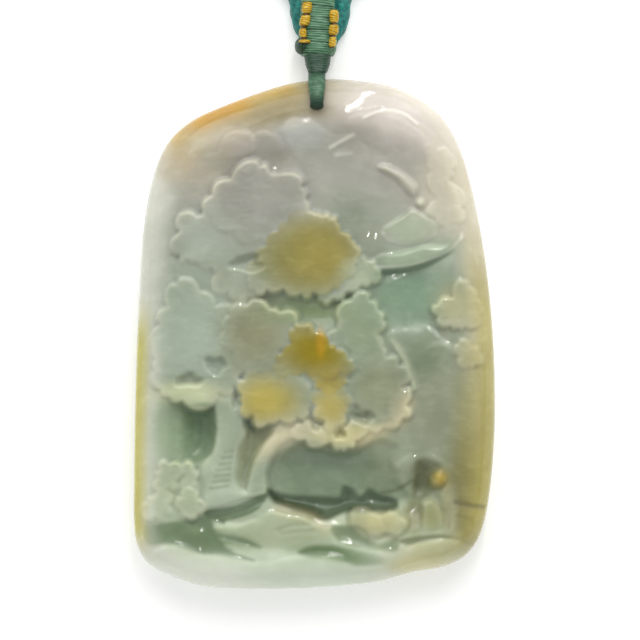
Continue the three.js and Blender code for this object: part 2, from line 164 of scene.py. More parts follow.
@dataclass(frozen=True)
class JadeFinish:
    """Polished jadeite: cloudy, a little see-through, its colour read from the carved mesh: stains, with
    painted light and shade.
    """

    cloud_scale: float = 210.0
    cloud_share: float = 0.3
    fleck_scale: float = 900.0
    fleck_share: float = 0.24
    pale: Colour = (1.0, 1.0, 1.0)
    roughness: tuple[float, float] = (0.035, 0.06)
    ripple_scale: float = 700.0
    ripple_strength: float = 0.08
    ripple_height: float = 0.0002
    refraction: float = 1.58
    gloss: float = 0.25
    subsurface: float = 0.85
    scatter_colour: Colour = (1.0, 1.05, 0.8)
    scatter: float = 0.0015

    def material(self) -> bpy.types.Material:
        """Mix the stone's material.

        Returns:
            The material.
        """
        material, tree, shader = new_material("polished_jade")
        # The colour on the mesh holds the stone's stains and its painted light and shade.
        stain_and_painted_light = add_node(tree, "Attribute", {"attribute_name": "stain_and_painted_light"}).outputs["Color"]
        clouds = object_noise(tree, self.cloud_scale, 3.0, distortion=0.6)
        flecks = object_noise(tree, self.fleck_scale, 4.0, (0.5, 1, 1))
        cloudy = spread(tree, clouds, 0.0, self.cloud_share, 0.35, 0.75)
        flecky = spread(tree, flecks, 0.0, self.fleck_share, 0.5, 0.8)
        clouded = blend_colours(tree, cloudy, stain_and_painted_light, self.pale, "SOFT_LIGHT")
        flecked = blend_colours(tree, flecky, clouded, self.pale, "SOFT_LIGHT")
        tree.links.new(flecked, shader.inputs["Base Color"])
        tree.links.new(spread(tree, clouds, *self.roughness), shader.inputs["Roughness"])
        ripple = object_noise(tree, self.ripple_scale, 1.0)
        bump = add_node(tree, "Bump", inputs={
            "Height": ripple, "Strength": self.ripple_strength, "Distance": self.ripple_height})
        tree.links.new(bump.outputs["Normal"], shader.inputs["Normal"])
        shader.inputs["IOR"].default_value = self.refraction
        shader.inputs["Specular IOR Level"].default_value = self.gloss
        shader.inputs["Subsurface Weight"].default_value = self.subsurface
        shader.inputs["Subsurface Radius"].default_value = self.scatter_colour
        shader.inputs["Subsurface Scale"].default_value = self.scatter
        return material


@dataclass(frozen=True)
class ThreadFinish:
    """Silky thread: painted shade deep in the grooves between the turns, lighter on their crowns, with
    painted sheen along the strands.
    """

    name: str
    deep: Colour
    crown: Colour
    gleam: Colour
    roughness: float
    sheen: float
    strand_scale: float = 2600.0
    strand_share: float = 0.55
    strand_bump: float = 0.35
    strand_height: float = 0.00006
    uneven_roughness: float = 0.1
    sheen_roughness: float = 0.4

    def material(self) -> bpy.types.Material:
        """Mix the thread's material.

        Returns:
            The material.
        """
        material, tree, shader = new_material(self.name)
        crown = add_node(tree, "Attribute", {"attribute_name": "crown"}).outputs["Fac"]
        shade = add_node(tree, "Attribute", {"attribute_name": "shade"}).outputs["Fac"]
        strands = object_noise(tree, self.strand_scale, 3.0, (0.25, 1.0, 1.0))
        # Painted shade: the deep colour in the grooves between the turns
        groove_shaded_body = blend_colours(tree, crown, self.deep, self.crown)
        # Painted sheen: paler streaks along the strands
        gleaming = spread(tree, strands, 0.0, self.strand_share, 0.45, 0.75)
        lit = blend_colours(tree, gleaming, groove_shaded_body, self.gleam)
        # The shade value mixes in the deep colour, for dark dye and for painted shade
        dyed_and_shaded = blend_colours(tree, shade, lit, self.deep)
        tree.links.new(dyed_and_shaded, shader.inputs["Base Color"])
        rough, smooth = self.roughness + self.uneven_roughness, self.roughness - self.uneven_roughness
        tree.links.new(spread(tree, strands, rough, smooth), shader.inputs["Roughness"])
        bump = add_node(tree, "Bump", inputs={
            "Height": strands, "Strength": self.strand_bump, "Distance": self.strand_height})
        tree.links.new(bump.outputs["Normal"], shader.inputs["Normal"])
        shader.inputs["Sheen Weight"].default_value = self.sheen
        shader.inputs["Sheen Roughness"].default_value = self.sheen_roughness
        return material


@dataclass(frozen=True)
class FloorFinish:
    """Plain white table."""

    grain_scale: float = 60.0
    darker: Colour = tone(247, 247, 246)
    lighter: Colour = tone(250, 250, 250)
    roughness: float = 0.6
    glow: float = 0.25

    def material(self) -> bpy.types.Material:
        """Mix the table's material.

        Returns:
            The material.
        """
        material, tree, shader = new_material("white_table")
        grain = spread(tree, object_noise(tree, self.grain_scale, 2.0), 0.0, 1.0)
        pale = blend_colours(tree, grain, self.darker, self.lighter)
        tree.links.new(pale, shader.inputs["Base Color"])
        shader.inputs["Roughness"].default_value = self.roughness
        shader.inputs["Emission Color"].default_value = (1, 1, 1, 1)
        shader.inputs["Emission Strength"].default_value = self.glow
        return material


GREEN_THREAD = ThreadFinish(
    "green_thread", tone(8, 46, 28), tone(78, 126, 91), tone(142, 186, 150), roughness=0.52, sheen=0.04)
GOLD_THREAD = ThreadFinish(
    "gold_thread", tone(84, 54, 4), tone(202, 160, 8), tone(252, 222, 92), roughness=0.36, sheen=0.03)
TEAL_BRAID = ThreadFinish(
    "teal_braid", tone(6, 66, 66), tone(24, 136, 126), tone(70, 170, 156), roughness=0.6, sheen=0.2)


# Mesh helpers

def deselect_all() -> None:
    """Deselect every object, so that the next operator acts on the new piece alone."""
    bpy.ops.object.select_all(action="DESELECT")


def flat_grid(name: str, columns: int, rows: int) -> tuple[bpy.types.Object, Array, Array]:
    """A flat grid to be shaped in code.

    Args:
        name: Name of the piece.
        columns: Faces across.
        rows: Faces along.

    Returns:
        The grid's object, and each vertex's column and row.
    """
    deselect_all()
    bpy.ops.mesh.primitive_grid_add(x_subdivisions=columns, y_subdivisions=rows, size=2)
    piece = bpy.context.active_object
    piece.name = name
    piece.data.name = name
    flat = np.empty(len(piece.data.vertices) * 3)
    piece.data.vertices.foreach_get("co", flat)
    flat = flat.reshape(-1, 3)
    column = np.rint((flat[:, 0] + 1) / 2 * columns).astype(int)
    row = np.rint((flat[:, 1] + 1) / 2 * rows).astype(int)
    return piece, column, row


def place_vertices(piece: bpy.types.Object, places: Array) -> None:
    """Move every vertex of a piece to its own point, in metres."""
    piece.data.vertices.foreach_set("co", np.ascontiguousarray(places, dtype=np.float64).ravel())
    piece.data.update()


def vertex_places(piece: bpy.types.Object) -> Array:
    """Where the vertices of a piece are.

    Args:
        piece: The piece.

    Returns:
        One point for each vertex, in metres.
    """
    places = np.empty(len(piece.data.vertices) * 3)
    piece.data.vertices.foreach_get("co", places)
    return places.reshape(-1, 3)


def paint_value(piece: bpy.types.Object, name: str, values: Array) -> None:
    """Give each vertex of a piece a number that its finish reads."""
    layer = piece.data.attributes.new(name, "FLOAT", "POINT")
    layer.data.foreach_set("value", np.ascontiguousarray(values, dtype=np.float32).ravel())


def rolled_tube(name: str, rings: Array, crown: Array, shade: Array,
                closed: bool = False) -> bpy.types.Object:
    """Roll a grid into a tube, along an open or a closed way.

    Args:
        name: Name of the piece.
        rings: Points in metres by ring and side; the last side meets the first.
        crown: How far out each point is on its thread, 0 to 1.
        shade: How dark each point is, from its dye and from painted shade, 0 to 1.
        closed: Whether the last ring meets the first.

    Returns:
        The finished, closed tube.
    """
    rows, columns = rings.shape[0] - 1, rings.shape[1] - 1
    piece, column, row = flat_grid(name, columns, rows)
    place_vertices(piece, rings[row, column])
    paint_value(piece, "crown", crown[row, column])
    paint_value(piece, "shade", shade[row, column])
    bpy.ops.object.mode_set(mode="EDIT")
    bpy.ops.mesh.select_all(action="SELECT")
    bpy.ops.mesh.remove_doubles(threshold=1e-7)
    if not closed:
        bpy.ops.mesh.select_all(action="DESELECT")
        bpy.ops.mesh.select_mode(type="EDGE")
        bpy.ops.mesh.select_non_manifold()
        bpy.ops.mesh.fill_holes(sides=0)
    bpy.ops.mesh.select_all(action="SELECT")
    bpy.ops.mesh.normals_make_consistent(inside=False)
    bpy.ops.object.mode_set(mode="OBJECT")
    bpy.ops.object.shade_smooth_by_angle(angle=math.radians(70))
    return piece


def dress(piece: bpy.types.Object, material: bpy.types.Material,
          nodes: Sequence[str]) -> bpy.types.Object:
    """Give a piece its finish and its place in the model.

    Args:
        piece: The piece.
        material: Its finish.
        nodes: The CAD nodes that it stands for.

    Returns:
        The same piece.
    """
    piece.data.materials.clear()
    piece.data.materials.append(material)
    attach(piece, "root")
    if nodes:
        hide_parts(*nodes)
    return piece


# Curves

def smooth_curve(points: Sequence[Sequence[float]], closed: bool, per_span: int = 16) -> Array:
    """A smooth curve through the points, with spans weighted so that it neither loops nor kinks.

    Args:
        points: Points that the curve passes through.
        closed: Whether it returns to its start.
        per_span: Steps from one point to the next.

    Returns:
        Points along the curve; a closed one doesn't repeat its start.
    """
    corners = np.asarray(points, dtype=float)
    if closed:
        padded = np.vstack([corners[-1:], corners, corners[:2]])
    else:
        padded = np.vstack([2 * corners[0] - corners[1], corners, 2 * corners[-1] - corners[-2]])
    share = (np.arange(per_span) / per_span)[:, None]
    spans = []
    for before, start, end, after in zip(padded, padded[1:], padded[2:], padded[3:]):
        gap_in, gap, gap_out = (math.sqrt(np.linalg.norm(b - a)) for a, b in
                                ((before, start), (start, end), (end, after)))
        leave = gap * ((start - before) / gap_in - (end - before) / (gap_in + gap) + (end - start) / gap)
        arrive = gap * ((end - start) / gap - (after - start) / (gap + gap_out) + (after - end) / gap_out)
        square, cube = share ** 2, share ** 3
        spans.append((2 * cube - 3 * square + 1) * start + (cube - 2 * square + share) * leave
                     + (3 * square - 2 * cube) * end + (cube - square) * arrive)
    if not closed:
        spans.append(corners[-1:])
    return np.vstack(spans)


def evenly(curve: Array, count: int, closed: bool) -> Array:
    """Points at equal steps along a curve.

    Args:
        curve: Points of the curve.
        count: Number of steps.
        closed: Whether the curve returns to its start.

    Returns:
        The points; on a closed curve the start isn't repeated.
    """
    line = np.vstack([curve, curve[:1]]) if closed else curve
    run = np.concatenate([[0], np.cumsum(np.linalg.norm(np.diff(line, axis=0), axis=1))])
    stops = np.linspace(0, run[-1], count + 1)
    if closed:
        stops = stops[:-1]
    return np.stack([np.interp(stops, run, line[:, axis]) for axis in range(line.shape[1])], axis=1)


def even_ring(points: Sequence[Sequence[float]], count: int) -> Array:
    """Points at equal steps along the smooth closed curve through the given points."""
    return evenly(smooth_curve(points, closed=True), count, True)


def run_length(curve: Array, closed: bool) -> float:
    """Length of an open or a closed curve."""
    line = np.vstack([curve, curve[:1]]) if closed else curve
    return float(np.linalg.norm(np.diff(line, axis=0), axis=1).sum())


def unit(ways: Array) -> Array:
    """The same directions with a length of 1."""
    return ways / np.linalg.norm(ways, axis=1)[:, None]


def ring_ways(ring: Array) -> Array:
    """The direction of a closed curve at each of its points."""
    return unit(np.roll(ring, -1, axis=0) - np.roll(ring, 1, axis=0))


def runs_clockwise(ring: Array) -> bool:
    """Whether a closed flat curve runs clockwise."""
    ahead = np.roll(ring, -1, axis=0)
    return bool(np.sum(ring[:, 0] * ahead[:, 1] - ahead[:, 0] * ring[:, 1]) < 0)


def squared_off(value: Array, power: float) -> Array:
    """A sine or cosine that gives a squarer section, the more so the smaller the power."""
    return np.sign(value) * np.abs(value) ** power


def distance_to_line(x: Array, y: Array, line: Array) -> Array:
    """Distance from each point to a line of short pieces.

    Args:
        x: Points' X.
        y: Points' Y.
        line: Points of the line.

    Returns:
        The distances.
    """
    nearest = np.full(x.shape, np.inf)
    for start, end in zip(line[:-1], line[1:]):
        way = end - start
        along = ((x - start[0]) * way[0] + (y - start[1]) * way[1]) / max(way @ way, 1e-12)
        along = np.clip(along, 0, 1)
        gap = np.hypot(x - start[0] - along * way[0], y - start[1] - along * way[1])
        np.minimum(nearest, gap, out=nearest)
    return nearest


def depth_inside(x: Array, y: Array, ring: Array) -> Array:
    """Distance of each point inside a closed edge, negative outside it.

    Args:
        x: Points' X.
        y: Points' Y.
        ring: Points of the edge.

    Returns:
        The signed distances.
    """
    closed = np.vstack([ring, ring[:1]])
    gap = distance_to_line(x, y, closed)
    inside = np.zeros(x.shape, dtype=bool)
    for start, end in zip(closed[:-1], closed[1:]):
        if start[1] == end[1]:
            continue
        crosses = (start[1] > y) != (end[1] > y)
        meets = start[0] + (y - start[1]) * (end[0] - start[0]) / (end[1] - start[1])
        inside ^= crosses & (x < meets)
    return np.where(inside, gap, -gap)


def ramp(value: Array, start: float, end: float) -> Array:
    """A smooth step from 0 at start to 1 at end."""
    share = np.clip((value - start) / (end - start), 0, 1)
    return share * share * (3 - 2 * share)


def soft_max(first: Array, second: Array, fillet: float) -> Array:
    """The higher of two surfaces, with a fillet where they meet."""
    share = np.clip(0.5 + 0.5 * (second - first) / fillet, 0, 1)
    return first * (1 - share) + second * share + fillet * share * (1 - share)


# The carving

class Crest(Enum):
    """How a carved form's top is shaped."""

    PILLOW = "flat with a rounded shoulder"
    ROUND = "rounded like a bough"


# How much a form's top swells towards its middle, and over what distance, in millimetres
CREST_SWELL: dict[Crest, tuple[float, float]] = {Crest.PILLOW: (0.1, 1.5), Crest.ROUND: (0.5, 1.1)}


@dataclass(frozen=True)
class Motif:
    """One carved form: its top's height, its edge and the length of the edge's lobes, in millimetres."""

    top: float
    edge: Points
    crest: Crest = Crest.PILLOW
    shoulder: float = 0.4
    lobe: float = 0.0


@dataclass(frozen=True)
class Bank:
    """A bank or cloud that stands up along its upper edge and runs out below, in millimetres."""

    lift: float
    edge: Points
    shoulder: float = 0.7


@dataclass(frozen=True)
class Stroke:
    """A line cut into the stone, or raised on it where its depth is negative, in millimetres."""

    line: Points
    width: float
    depth: float


@dataclass(frozen=True)
class Hollow:
    """A scooped place: its middle, reach and depth, in millimetres."""

    x: float
    y: float
    reach: tuple[float, float]
    depth: float


@dataclass(frozen=True)
class Recess:
    """A place cut down inside a crisp edge, and the painted shade that darkens it, in millimetres.

    The cut and its painted shade come in from left to right over the two X of fade.
    """

    edge: Points
    depth: float
    colour: Colour
    strength: float
    soft: float = 0.35
    fade: tuple[float, float] = (-40.0, -30.0)


@dataclass(frozen=True)
class ColourLine:
    """Colour drawn along a line in the stone, in millimetres."""

    line: Points
    width: float
    colour: Colour
    strength: float


@dataclass(frozen=True)
class StainOrPaintedLight:
    """A patch of colour in the stone, or in one leaf pad of it, in millimetres. Most are the stone's
    natural colour; a few are painted shade or painted light.
    """

    x: float
    y: float
    reach: tuple[float, float]
    colour: Colour
    strength: float
    turn: float = 0.0
    within: str = ""


@dataclass
class CarvedFront:
    """The carved front at the mesh's points, in millimetres: heights, distances from the plaque's edge,
    how near each point is to the leaves' outer rim from 0 to 1, and distances inside each pad."""

    z: Array
    inset: Array
    rim: Array
    pads: dict[str, Array]


PLAQUE_OUTLINE: Points = (
    (2.2, 32.5), (6.3, 32.2), (10.4, 31.4), (14.5, 29.2), (16.5, 27.3), (18.5, 23.7), (19.9, 19.1),
    (21.2, 13), (22.1, 6.9), (22.8, -1.3), (23, -8.4), (22.9, -13.5), (22.4, -19.6), (21.6, -24),
    (20.7, -26.4), (19.1, -28.3), (16.6, -29.6), (12.6, -30.3), (10.5, -30.9), (8.3, -31.5),
    (4.3, -32), (-1.8, -32.4), (-8, -32.5), (-13.7, -32.2), (-16.5, -31.5), (-20.1, -30),
    (-21.7, -28.7), (-22.7, -26.5), (-23, -23.7), (-23, -18.6), (-22.9, -11), (-22.6, -0.8),
    (-22.2, 6.9), (-21.7, 14), (-20.8, 19.1), (-19.4, 23.1), (-17.8, 25.4), (-15.4, 27.3),
    (-12.2, 28.8), (-6.9, 30.8), (-3.6, 31.8), (-0.8, 32.3),
)

LEAF_PADS: dict[str, Motif] = {
    "upper_canopy": Motif(8.15, (
        (-6.7, 21), (-11.3, 18.6), (-13, 16), (-16.4, 13.8), (-17, 10.8), (-15.5, 9.8), (-12, 7.5),
        (-11.4, 5.6), (-8.5, 5.3), (-4, 6), (2, 6), (5, 9), (3.6, 12.5), (2, 14.4), (-1.4, 15.2),
        (-1.5, 18.4)), lobe=2.4),
    "lower_canopy": Motif(8.1, (
        (-11, 1.5), (-8, 3.4), (-4, 2.6), (-1, 1), (2, 0.6), (3.6, 2.4), (5, 4.4), (8, 2), (8.4, -2),
        (11, -5), (11, -9.8), (8, -9.6), (5, -8.8), (3.6, -11), (2, -11.5), (0.4, -10), (-1, -9.6),
        (-2, -10.4), (-7, -11), (-9, -9.5), (-9.2, -6), (-10.3, -2)), lobe=2.4),
    "crown_top": Motif(8.36, (
        (-6.7, 21.9), (-9.5, 20.6), (-11.8, 19.2), (-13.6, 17.3), (-13.8, 15.5), (-11, 13),
        (-6.7, 11.5), (-1.8, 13.8), (-0.7, 16.7), (-1.6, 19.4), (-3.6, 19.8), (-5.4, 20.6)), lobe=3.0),
    "crown_left": Motif(8.2, (
        (-14.6, 15.2), (-16.5, 14.7), (-17.4, 12.7), (-17.8, 10.7), (-16.6, 8.9), (-14.2, 9.8),
        (-12.9, 8.2), (-10.8, 8.4), (-10, 9.9), (-6.7, 10.5), (-6.7, 13), (-10.5, 15.5)), lobe=3.3),
    "crown_tuft": Motif(8.2, (
        (-12.4, 7.9), (-12.2, 5.6), (-10.8, 4.8), (-8.9, 4.2), (-7.3, 5.2), (-6.4, 6.9), (-7.5, 8.4),
        (-10, 8.9)), lobe=2.3),
    "left_crown": Motif(8.15, (
        (-17.7, 6.8), (-18.9, 4.1), (-19.9, 1.8), (-20.2, -1.4), (-20.6, -4.8), (-19.8, -7.4),
        (-17.9, -8.7), (-14.2, -8.9), (-12, -7.9), (-9.6, -6.6), (-9.2, -4.1), (-8.6, -1.8),
        (-9.2, 1.5), (-12.6, 4.3), (-15.4, 6.4)), lobe=3.2),
    "middle_crown": Motif(8.42, (
        (-11.8, 0.5), (-10.8, 2.8), (-8.2, 4), (-4.9, 3.3), (-2.4, 2), (-3.1, 0), (-4.4, -2.3),
        (-5.9, -4.8), (-8.7, -5.1), (-9.8, -3.1), (-11.3, -2)), lobe=2.2),
    "right_crown": Motif(8.32, (
        (4.5, 4.5), (6.6, 5.1), (8.3, 3.4), (9.1, 1.5), (8.3, -0.3), (9.1, -2), (7.6, -4.7),
        (5.3, -4.8), (4.5, -2.3), (3.5, -0.3), (3.2, 2.5)), lobe=2.3),
    "right_lower": Motif(8.22, (
        (7.1, -2.8), (9.9, -2.9), (11.8, -5.4), (11.9, -8.4), (11.9, -10.6), (10.1, -11.1), (7.3, -9.9),
        (4.8, -8.7), (4, -6.4), (4.8, -4.6)), lobe=2.2),
    "lower_fringe": Motif(8.05, (
        (-1.8, -11.2), (1.5, -12), (4.5, -11.5), (7.8, -10.2), (10.4, -11), (8.6, -12.2), (6.1, -12.9),
        (5, -14.4), (3.2, -15), (1.5, -13.9), (-0.8, -13.9), (-2.4, -12.7)), lobe=2.4),
    "gold_fringe": Motif(8.2, (
        (0.8, 3.9), (3, 4.4), (4.9, 5.6), (7.6, 6.4), (8.1, 8.4), (5.7, 9.9), (3, 9), (1, 6)),
        lobe=1.7),
    "gold_upper": Motif(8.46, (
        (-8.5, 6.2), (-8.2, 8.8), (-6.3, 11.3), (-3.8, 14.3), (-1.4, 15.8), (0.6, 15.4), (2.7, 14.8),
        (3.6, 13), (4.8, 12.1), (5.7, 10.8), (5.5, 8.9), (4.3, 7), (2.7, 5.6), (0.8, 5.2), (-1.1, 4.6),
        (-2.6, 5), (-4.5, 5.5), (-7.5, 5.1)), lobe=1.6),
    "gold_base": Motif(8.38, (
        (-9, -5.6), (-5.4, -4.6), (-1.3, -5.6), (-0.2, -7.9), (-1.3, -10.5), (-4.4, -11.1),
        (-7.1, -11.5), (-8.9, -10.1), (-9.5, -7.6)), lobe=1.9),
    "gold_drop": Motif(8.4, (
        (0.4, -6.9), (4, -7.1), (4.4, -9.4), (3.2, -11.5), (2, -12.1), (0.4, -10.5), (-0.1, -8.4)),
        lobe=2.0),
    "gold_tail": Motif(8.46, (
        (-0.2, -4.1), (3.9, -4.1), (4.1, -6.4), (2.2, -7.5), (0.2, -6.9)), lobe=2.0),
    "gold_lower": Motif(8.56, (
        (-2.9, 0.9), (-1.1, 1.4), (0.3, 0.4), (1.8, -0.8), (3.7, -2.3), (5.2, -4.2), (3.7, -5),
        (0.8, -5.4), (-2.1, -5.2), (-4, -5.4), (-5.3, -4.7), (-4.8, -2.8), (-3.3, -1.3)), lobe=1.9),
    "bush_back": Motif(7.65, (
        (-17, -16.8), (-16, -16.3), (-15, -17), (-14.8, -18.6), (-15.3, -19.7), (-16.4, -19.6),
        (-16.9, -18.2)), lobe=2.2),
    "bush_low": Motif(7.8, (
        (-21.4, -21.2), (-20.2, -20.2), (-18.6, -20.4), (-18.2, -21.8), (-18.6, -23.4), (-20.6, -23.6),
        (-21.6, -22.6)), lobe=2.4),
    "bush_top": Motif(7.9, (
        (-20, -17), (-19, -16.1), (-17.4, -16.6), (-17.2, -18.4), (-17.8, -19.8), (-19.4, -19.8),
        (-20.2, -18.8)), lobe=2.5),
    "bush_foot": Motif(7.85, (
        (-17.2, -20.4), (-15.8, -19.9), (-14.5, -20.7), (-14.2, -22.4), (-15.1, -23.4), (-16.8, -23.3),
        (-17.3, -21.9)), lobe=2.3),
    "right_bush": Motif(8.15, (
        (18.8, 7), (20.3, 4.8), (20.7, 1.8), (18.3, 0.5), (15.5, 1.8), (15.2, 3.8), (17.3, 4.8)),
        lobe=1.9),
    "right_sprig": Motif(8.1, ((18, -1), (19.8, -1.3), (21, -2.8), (20.1, -4.3), (18.5, -3.8)), lobe=1.7),
    "cloud_right": Motif(7.75, (
        (15, 22.9), (16.8, 23.5), (17.7, 21.2), (17.4, 18.9), (18.7, 16.8), (18.4, 14.4), (16.5, 13.8),
        (14.5, 15.3), (15.2, 17.3), (14.5, 20.1)), lobe=2.7),
    "rock_grass": Motif(7.5, (
        (7.3, -25.6), (10.4, -25.9), (11, -27), (10.4, -28.2), (8.6, -27.9), (7.4, -26.8)), lobe=1.6),
}

FORMS: dict[str, Motif] = {
    "leaf_web": Motif(7.9, (
        (-17.4, 9.4), (-14, 9.6), (-10.5, 8), (-7.6, 5), (-8, 2.4), (-11, 2.4), (-15, 5), (-17.6, 6.8)),
        Crest.PILLOW, 0.8),
    "rock": Motif(8.25, (
        (4.3, -23.4), (4.5, -22.4), (5.3, -21.8), (6.6, -21.8), (7.4, -22.3), (8.6, -22.7),
        (9.4, -22.2), (10.4, -22.3), (11, -22.9), (11.8, -23.4), (12, -24.1), (11.6, -24.9),
        (10.6, -25.7), (9.6, -25.5), (9, -25.3), (8.2, -25.7), (7, -25.7), (6.3, -25), (5.5, -24.5),
        (4.6, -24.3)), Crest.ROUND, 0.45),
    "roof_top": Motif(7.65, (
        (12.4, 15.9), (13.6, 15.2), (15.7, 13.8), (15.4, 12.7), (13.6, 11.7), (11.5, 11.4), (9.1, 12),
        (8.5, 13.1), (11.2, 15)), Crest.PILLOW, 0.3),
    "roof_eave": Motif(7.85, (
        (7.6, 9.8), (10.9, 10.3), (14, 11.2), (16.2, 11.2), (17.8, 12), (18.7, 12.9), (18.9, 12.1),
        (17, 10.3), (14.1, 9), (11.2, 8.3), (7.7, 8.3)), Crest.PILLOW, 0.35),
    "finger_cloud": Motif(7.75, (
        (8, 21.2), (8.9, 21.5), (10.5, 20.9), (12, 20), (13.2, 18.7), (12.6, 17.5), (11.7, 18.1),
        (10.5, 19.5), (9.1, 20.4)), Crest.PILLOW, 0.9),
    "vine": Motif(8.1, (
        (9.5, -0.5), (10.4, -1), (11.7, -2.8), (12.6, -4.8), (13.1, -7.1), (12.4, -7.4), (11.7, -5.1),
        (10.6, -3.1)), Crest.ROUND, 0.6),
    "trunk": Motif(8.0, (
        (-12.6, -7.6), (-9.5, -7.6), (-8.6, -10.7), (-8.6, -13), (-9.5, -15), (-9.9, -17.3),
        (-9.4, -19.4), (-8, -19.9), (-6.2, -19.4), (-5.9, -20.4), (-8.5, -21), (-11.4, -21.9),
        (-14.2, -22.4), (-14.2, -19.6), (-14.6, -16.7), (-13.2, -15), (-12.6, -12.2)),
        Crest.ROUND, 0.7),
    "branch": Motif(7.9, (
        (-8.7, -20.4), (-8.5, -17.6), (-7.5, -15), (-5.9, -13), (-3.9, -11.9), (-1.1, -11), (2, -11.7),
        (1.5, -14), (-0.6, -13.9), (-2, -13.4), (-3.6, -14), (-4.9, -15.5), (-5.8, -17.6),
        (-5.9, -20.1)), Crest.ROUND, 0.8),
    "mound": Motif(7.5, (
        (-13.1, -24.5), (-12.1, -24), (-9.4, -24), (-7.5, -23.2), (-5.4, -22.3), (-3.4, -22.7),
        (-1.4, -23), (-0.1, -23.8), (2, -24.9), (2.7, -26), (3.8, -26.9), (1.5, -26.6), (-0.6, -26.9),
        (-2.1, -27.7), (-6.7, -27.1), (-10.1, -25.7), (-12.5, -25.2)), Crest.PILLOW, 0.6),
    "stone_table": Motif(7.7, (
        (13.7, -21.2), (14.8, -20.8), (15.7, -21.5), (16.3, -23.2), (16.3, -24.5), (15.2, -25),
        (13.8, -25), (13.6, -22.9)), Crest.PILLOW, 0.7),
    "robe": Motif(7.9, (
        (16.1, -19.4), (17.1, -18.4), (17.8, -19.9), (18.2, -22.2), (17.9, -25.2), (16.8, -25.4),
        (16.5, -22.9), (15.7, -21.4), (15.6, -20.3)), Crest.ROUND, 1.0),
}

BANKS: dict[str, Bank] = {
    "sky_ridge": Bank(0.35, (
        (-4.1, 26), (-3, 27.1), (-0.3, 26.8), (2.5, 25.2), (5, 25.1), (6.8, 22.7), (5.3, 18.9),
        (2.7, 13.8), (-0.3, 16.3), (-1.1, 20.6), (-3.1, 23.5)), 1.6),
    "cliff_ridge": Bank(0.3, (
        (4, 27), (7.3, 28.2), (10.9, 28), (13.4, 26.8), (16, 24), (15.5, 20.1), (13.2, 18.4),
        (10.4, 21.4), (7.6, 24), (5, 25.2)), 1.5),
    "cloud_left": Bank(0.35, (
        (-15, 20.6), (-13.8, 22.6), (-12.2, 23.1), (-11.5, 25.2), (-10, 25.9), (-8, 25.2), (-7.5, 23.5),
        (-8.7, 22.6), (-10.8, 22.2), (-12.6, 21))),
    "cloud_middle": Bank(0.25, (
        (-8, 23.5), (-7.8, 25), (-6.4, 25.6), (-4.7, 25), (-3.9, 23.5), (-5.7, 22.4))),
    "bank_right": Bank(0.2, (
        (9.6, -0.1), (12.4, 0.9), (14.3, 1), (16, -0.5), (18, -1.8), (19.8, -4.1), (21, -8.4),
        (21.1, -17.3), (20.6, -21.2), (17.3, -21.2), (16, -17.3), (13.4, -15), (10.6, -14.5),
        (11.2, -11.5), (12.4, -8.7), (12.4, -5.9)), 0.45),
    "niche_brow": Bank(0.2, (
        (10.3, -16.9), (11.4, -15.8), (12.8, -15.3), (14.8, -15.3), (16.6, -16.3), (18.4, -18),
        (18.8, -22), (16.4, -20), (14.4, -18), (12, -17.6)), 0.6),
    "bank_left": Bank(0.1, (
        (-21.9, -25), (-18.4, -23.7), (-15.1, -24.5), (-13.1, -25.7), (-13.8, -27), (-17.1, -26.3),
        (-21, -26.9)), 0.6),
    "ground_tongue": Bank(0.15, (
        (-12.4, -26), (-10.8, -26.3), (-9.2, -26.6), (-6.7, -27.4), (-4, -27.6), (-4, -28.8),
        (-7.5, -28.6), (-10.1, -27.4)), 0.5),
    "shore": Bank(0.3, (
        (-20.8, -28.2), (-19, -27), (-16.5, -26.8), (-14.6, -27.9), (-12.7, -28), (-11, -28),
        (-9.1, -28.5), (-7.5, -29), (-5, -28.8), (-2.2, -28.2), (0.8, -28), (3.3, -28.4), (5.2, -29.3),
        (8, -29.6), (10.4, -30), (8, -31), (0, -31.6), (-10, -31.7), (-18, -30.4)), 0.6),
    "shelf_right": Bank(0.3, (
        (11.4, -27.8), (13.2, -26.5), (17, -26.1), (19.8, -27.4), (18, -28.8), (14.7, -29.6),
        (11.9, -29.3)), 0.6),
}

# Ground of the relief: scooped places under the plain cushion
GROUND_HOLLOWS: tuple[Hollow, ...] = (
    Hollow(1.0, 20.0, (17.0, 8.0), 0.35), Hollow(-2.5, 3.6, (9.0, 2.6), 0.8),
    Hollow(12.4, 5.0, (6.0, 4.6), 0.7), Hollow(-16.4, -12.4, (4.0, 4.6), 2.3),
    Hollow(1.8, -18.4, (8.2, 4.6), 2.0), Hollow(-7.4, -14.6, (2.2, 4.6), 1.2),
    Hollow(12.0, -21.6, (5.4, 3.2), 0.8), Hollow(-12.5, -24.6, (6.0, 1.6), 0.12),
    Hollow(6.0, -26.6, (6.0, 1.4), 0.2),
)
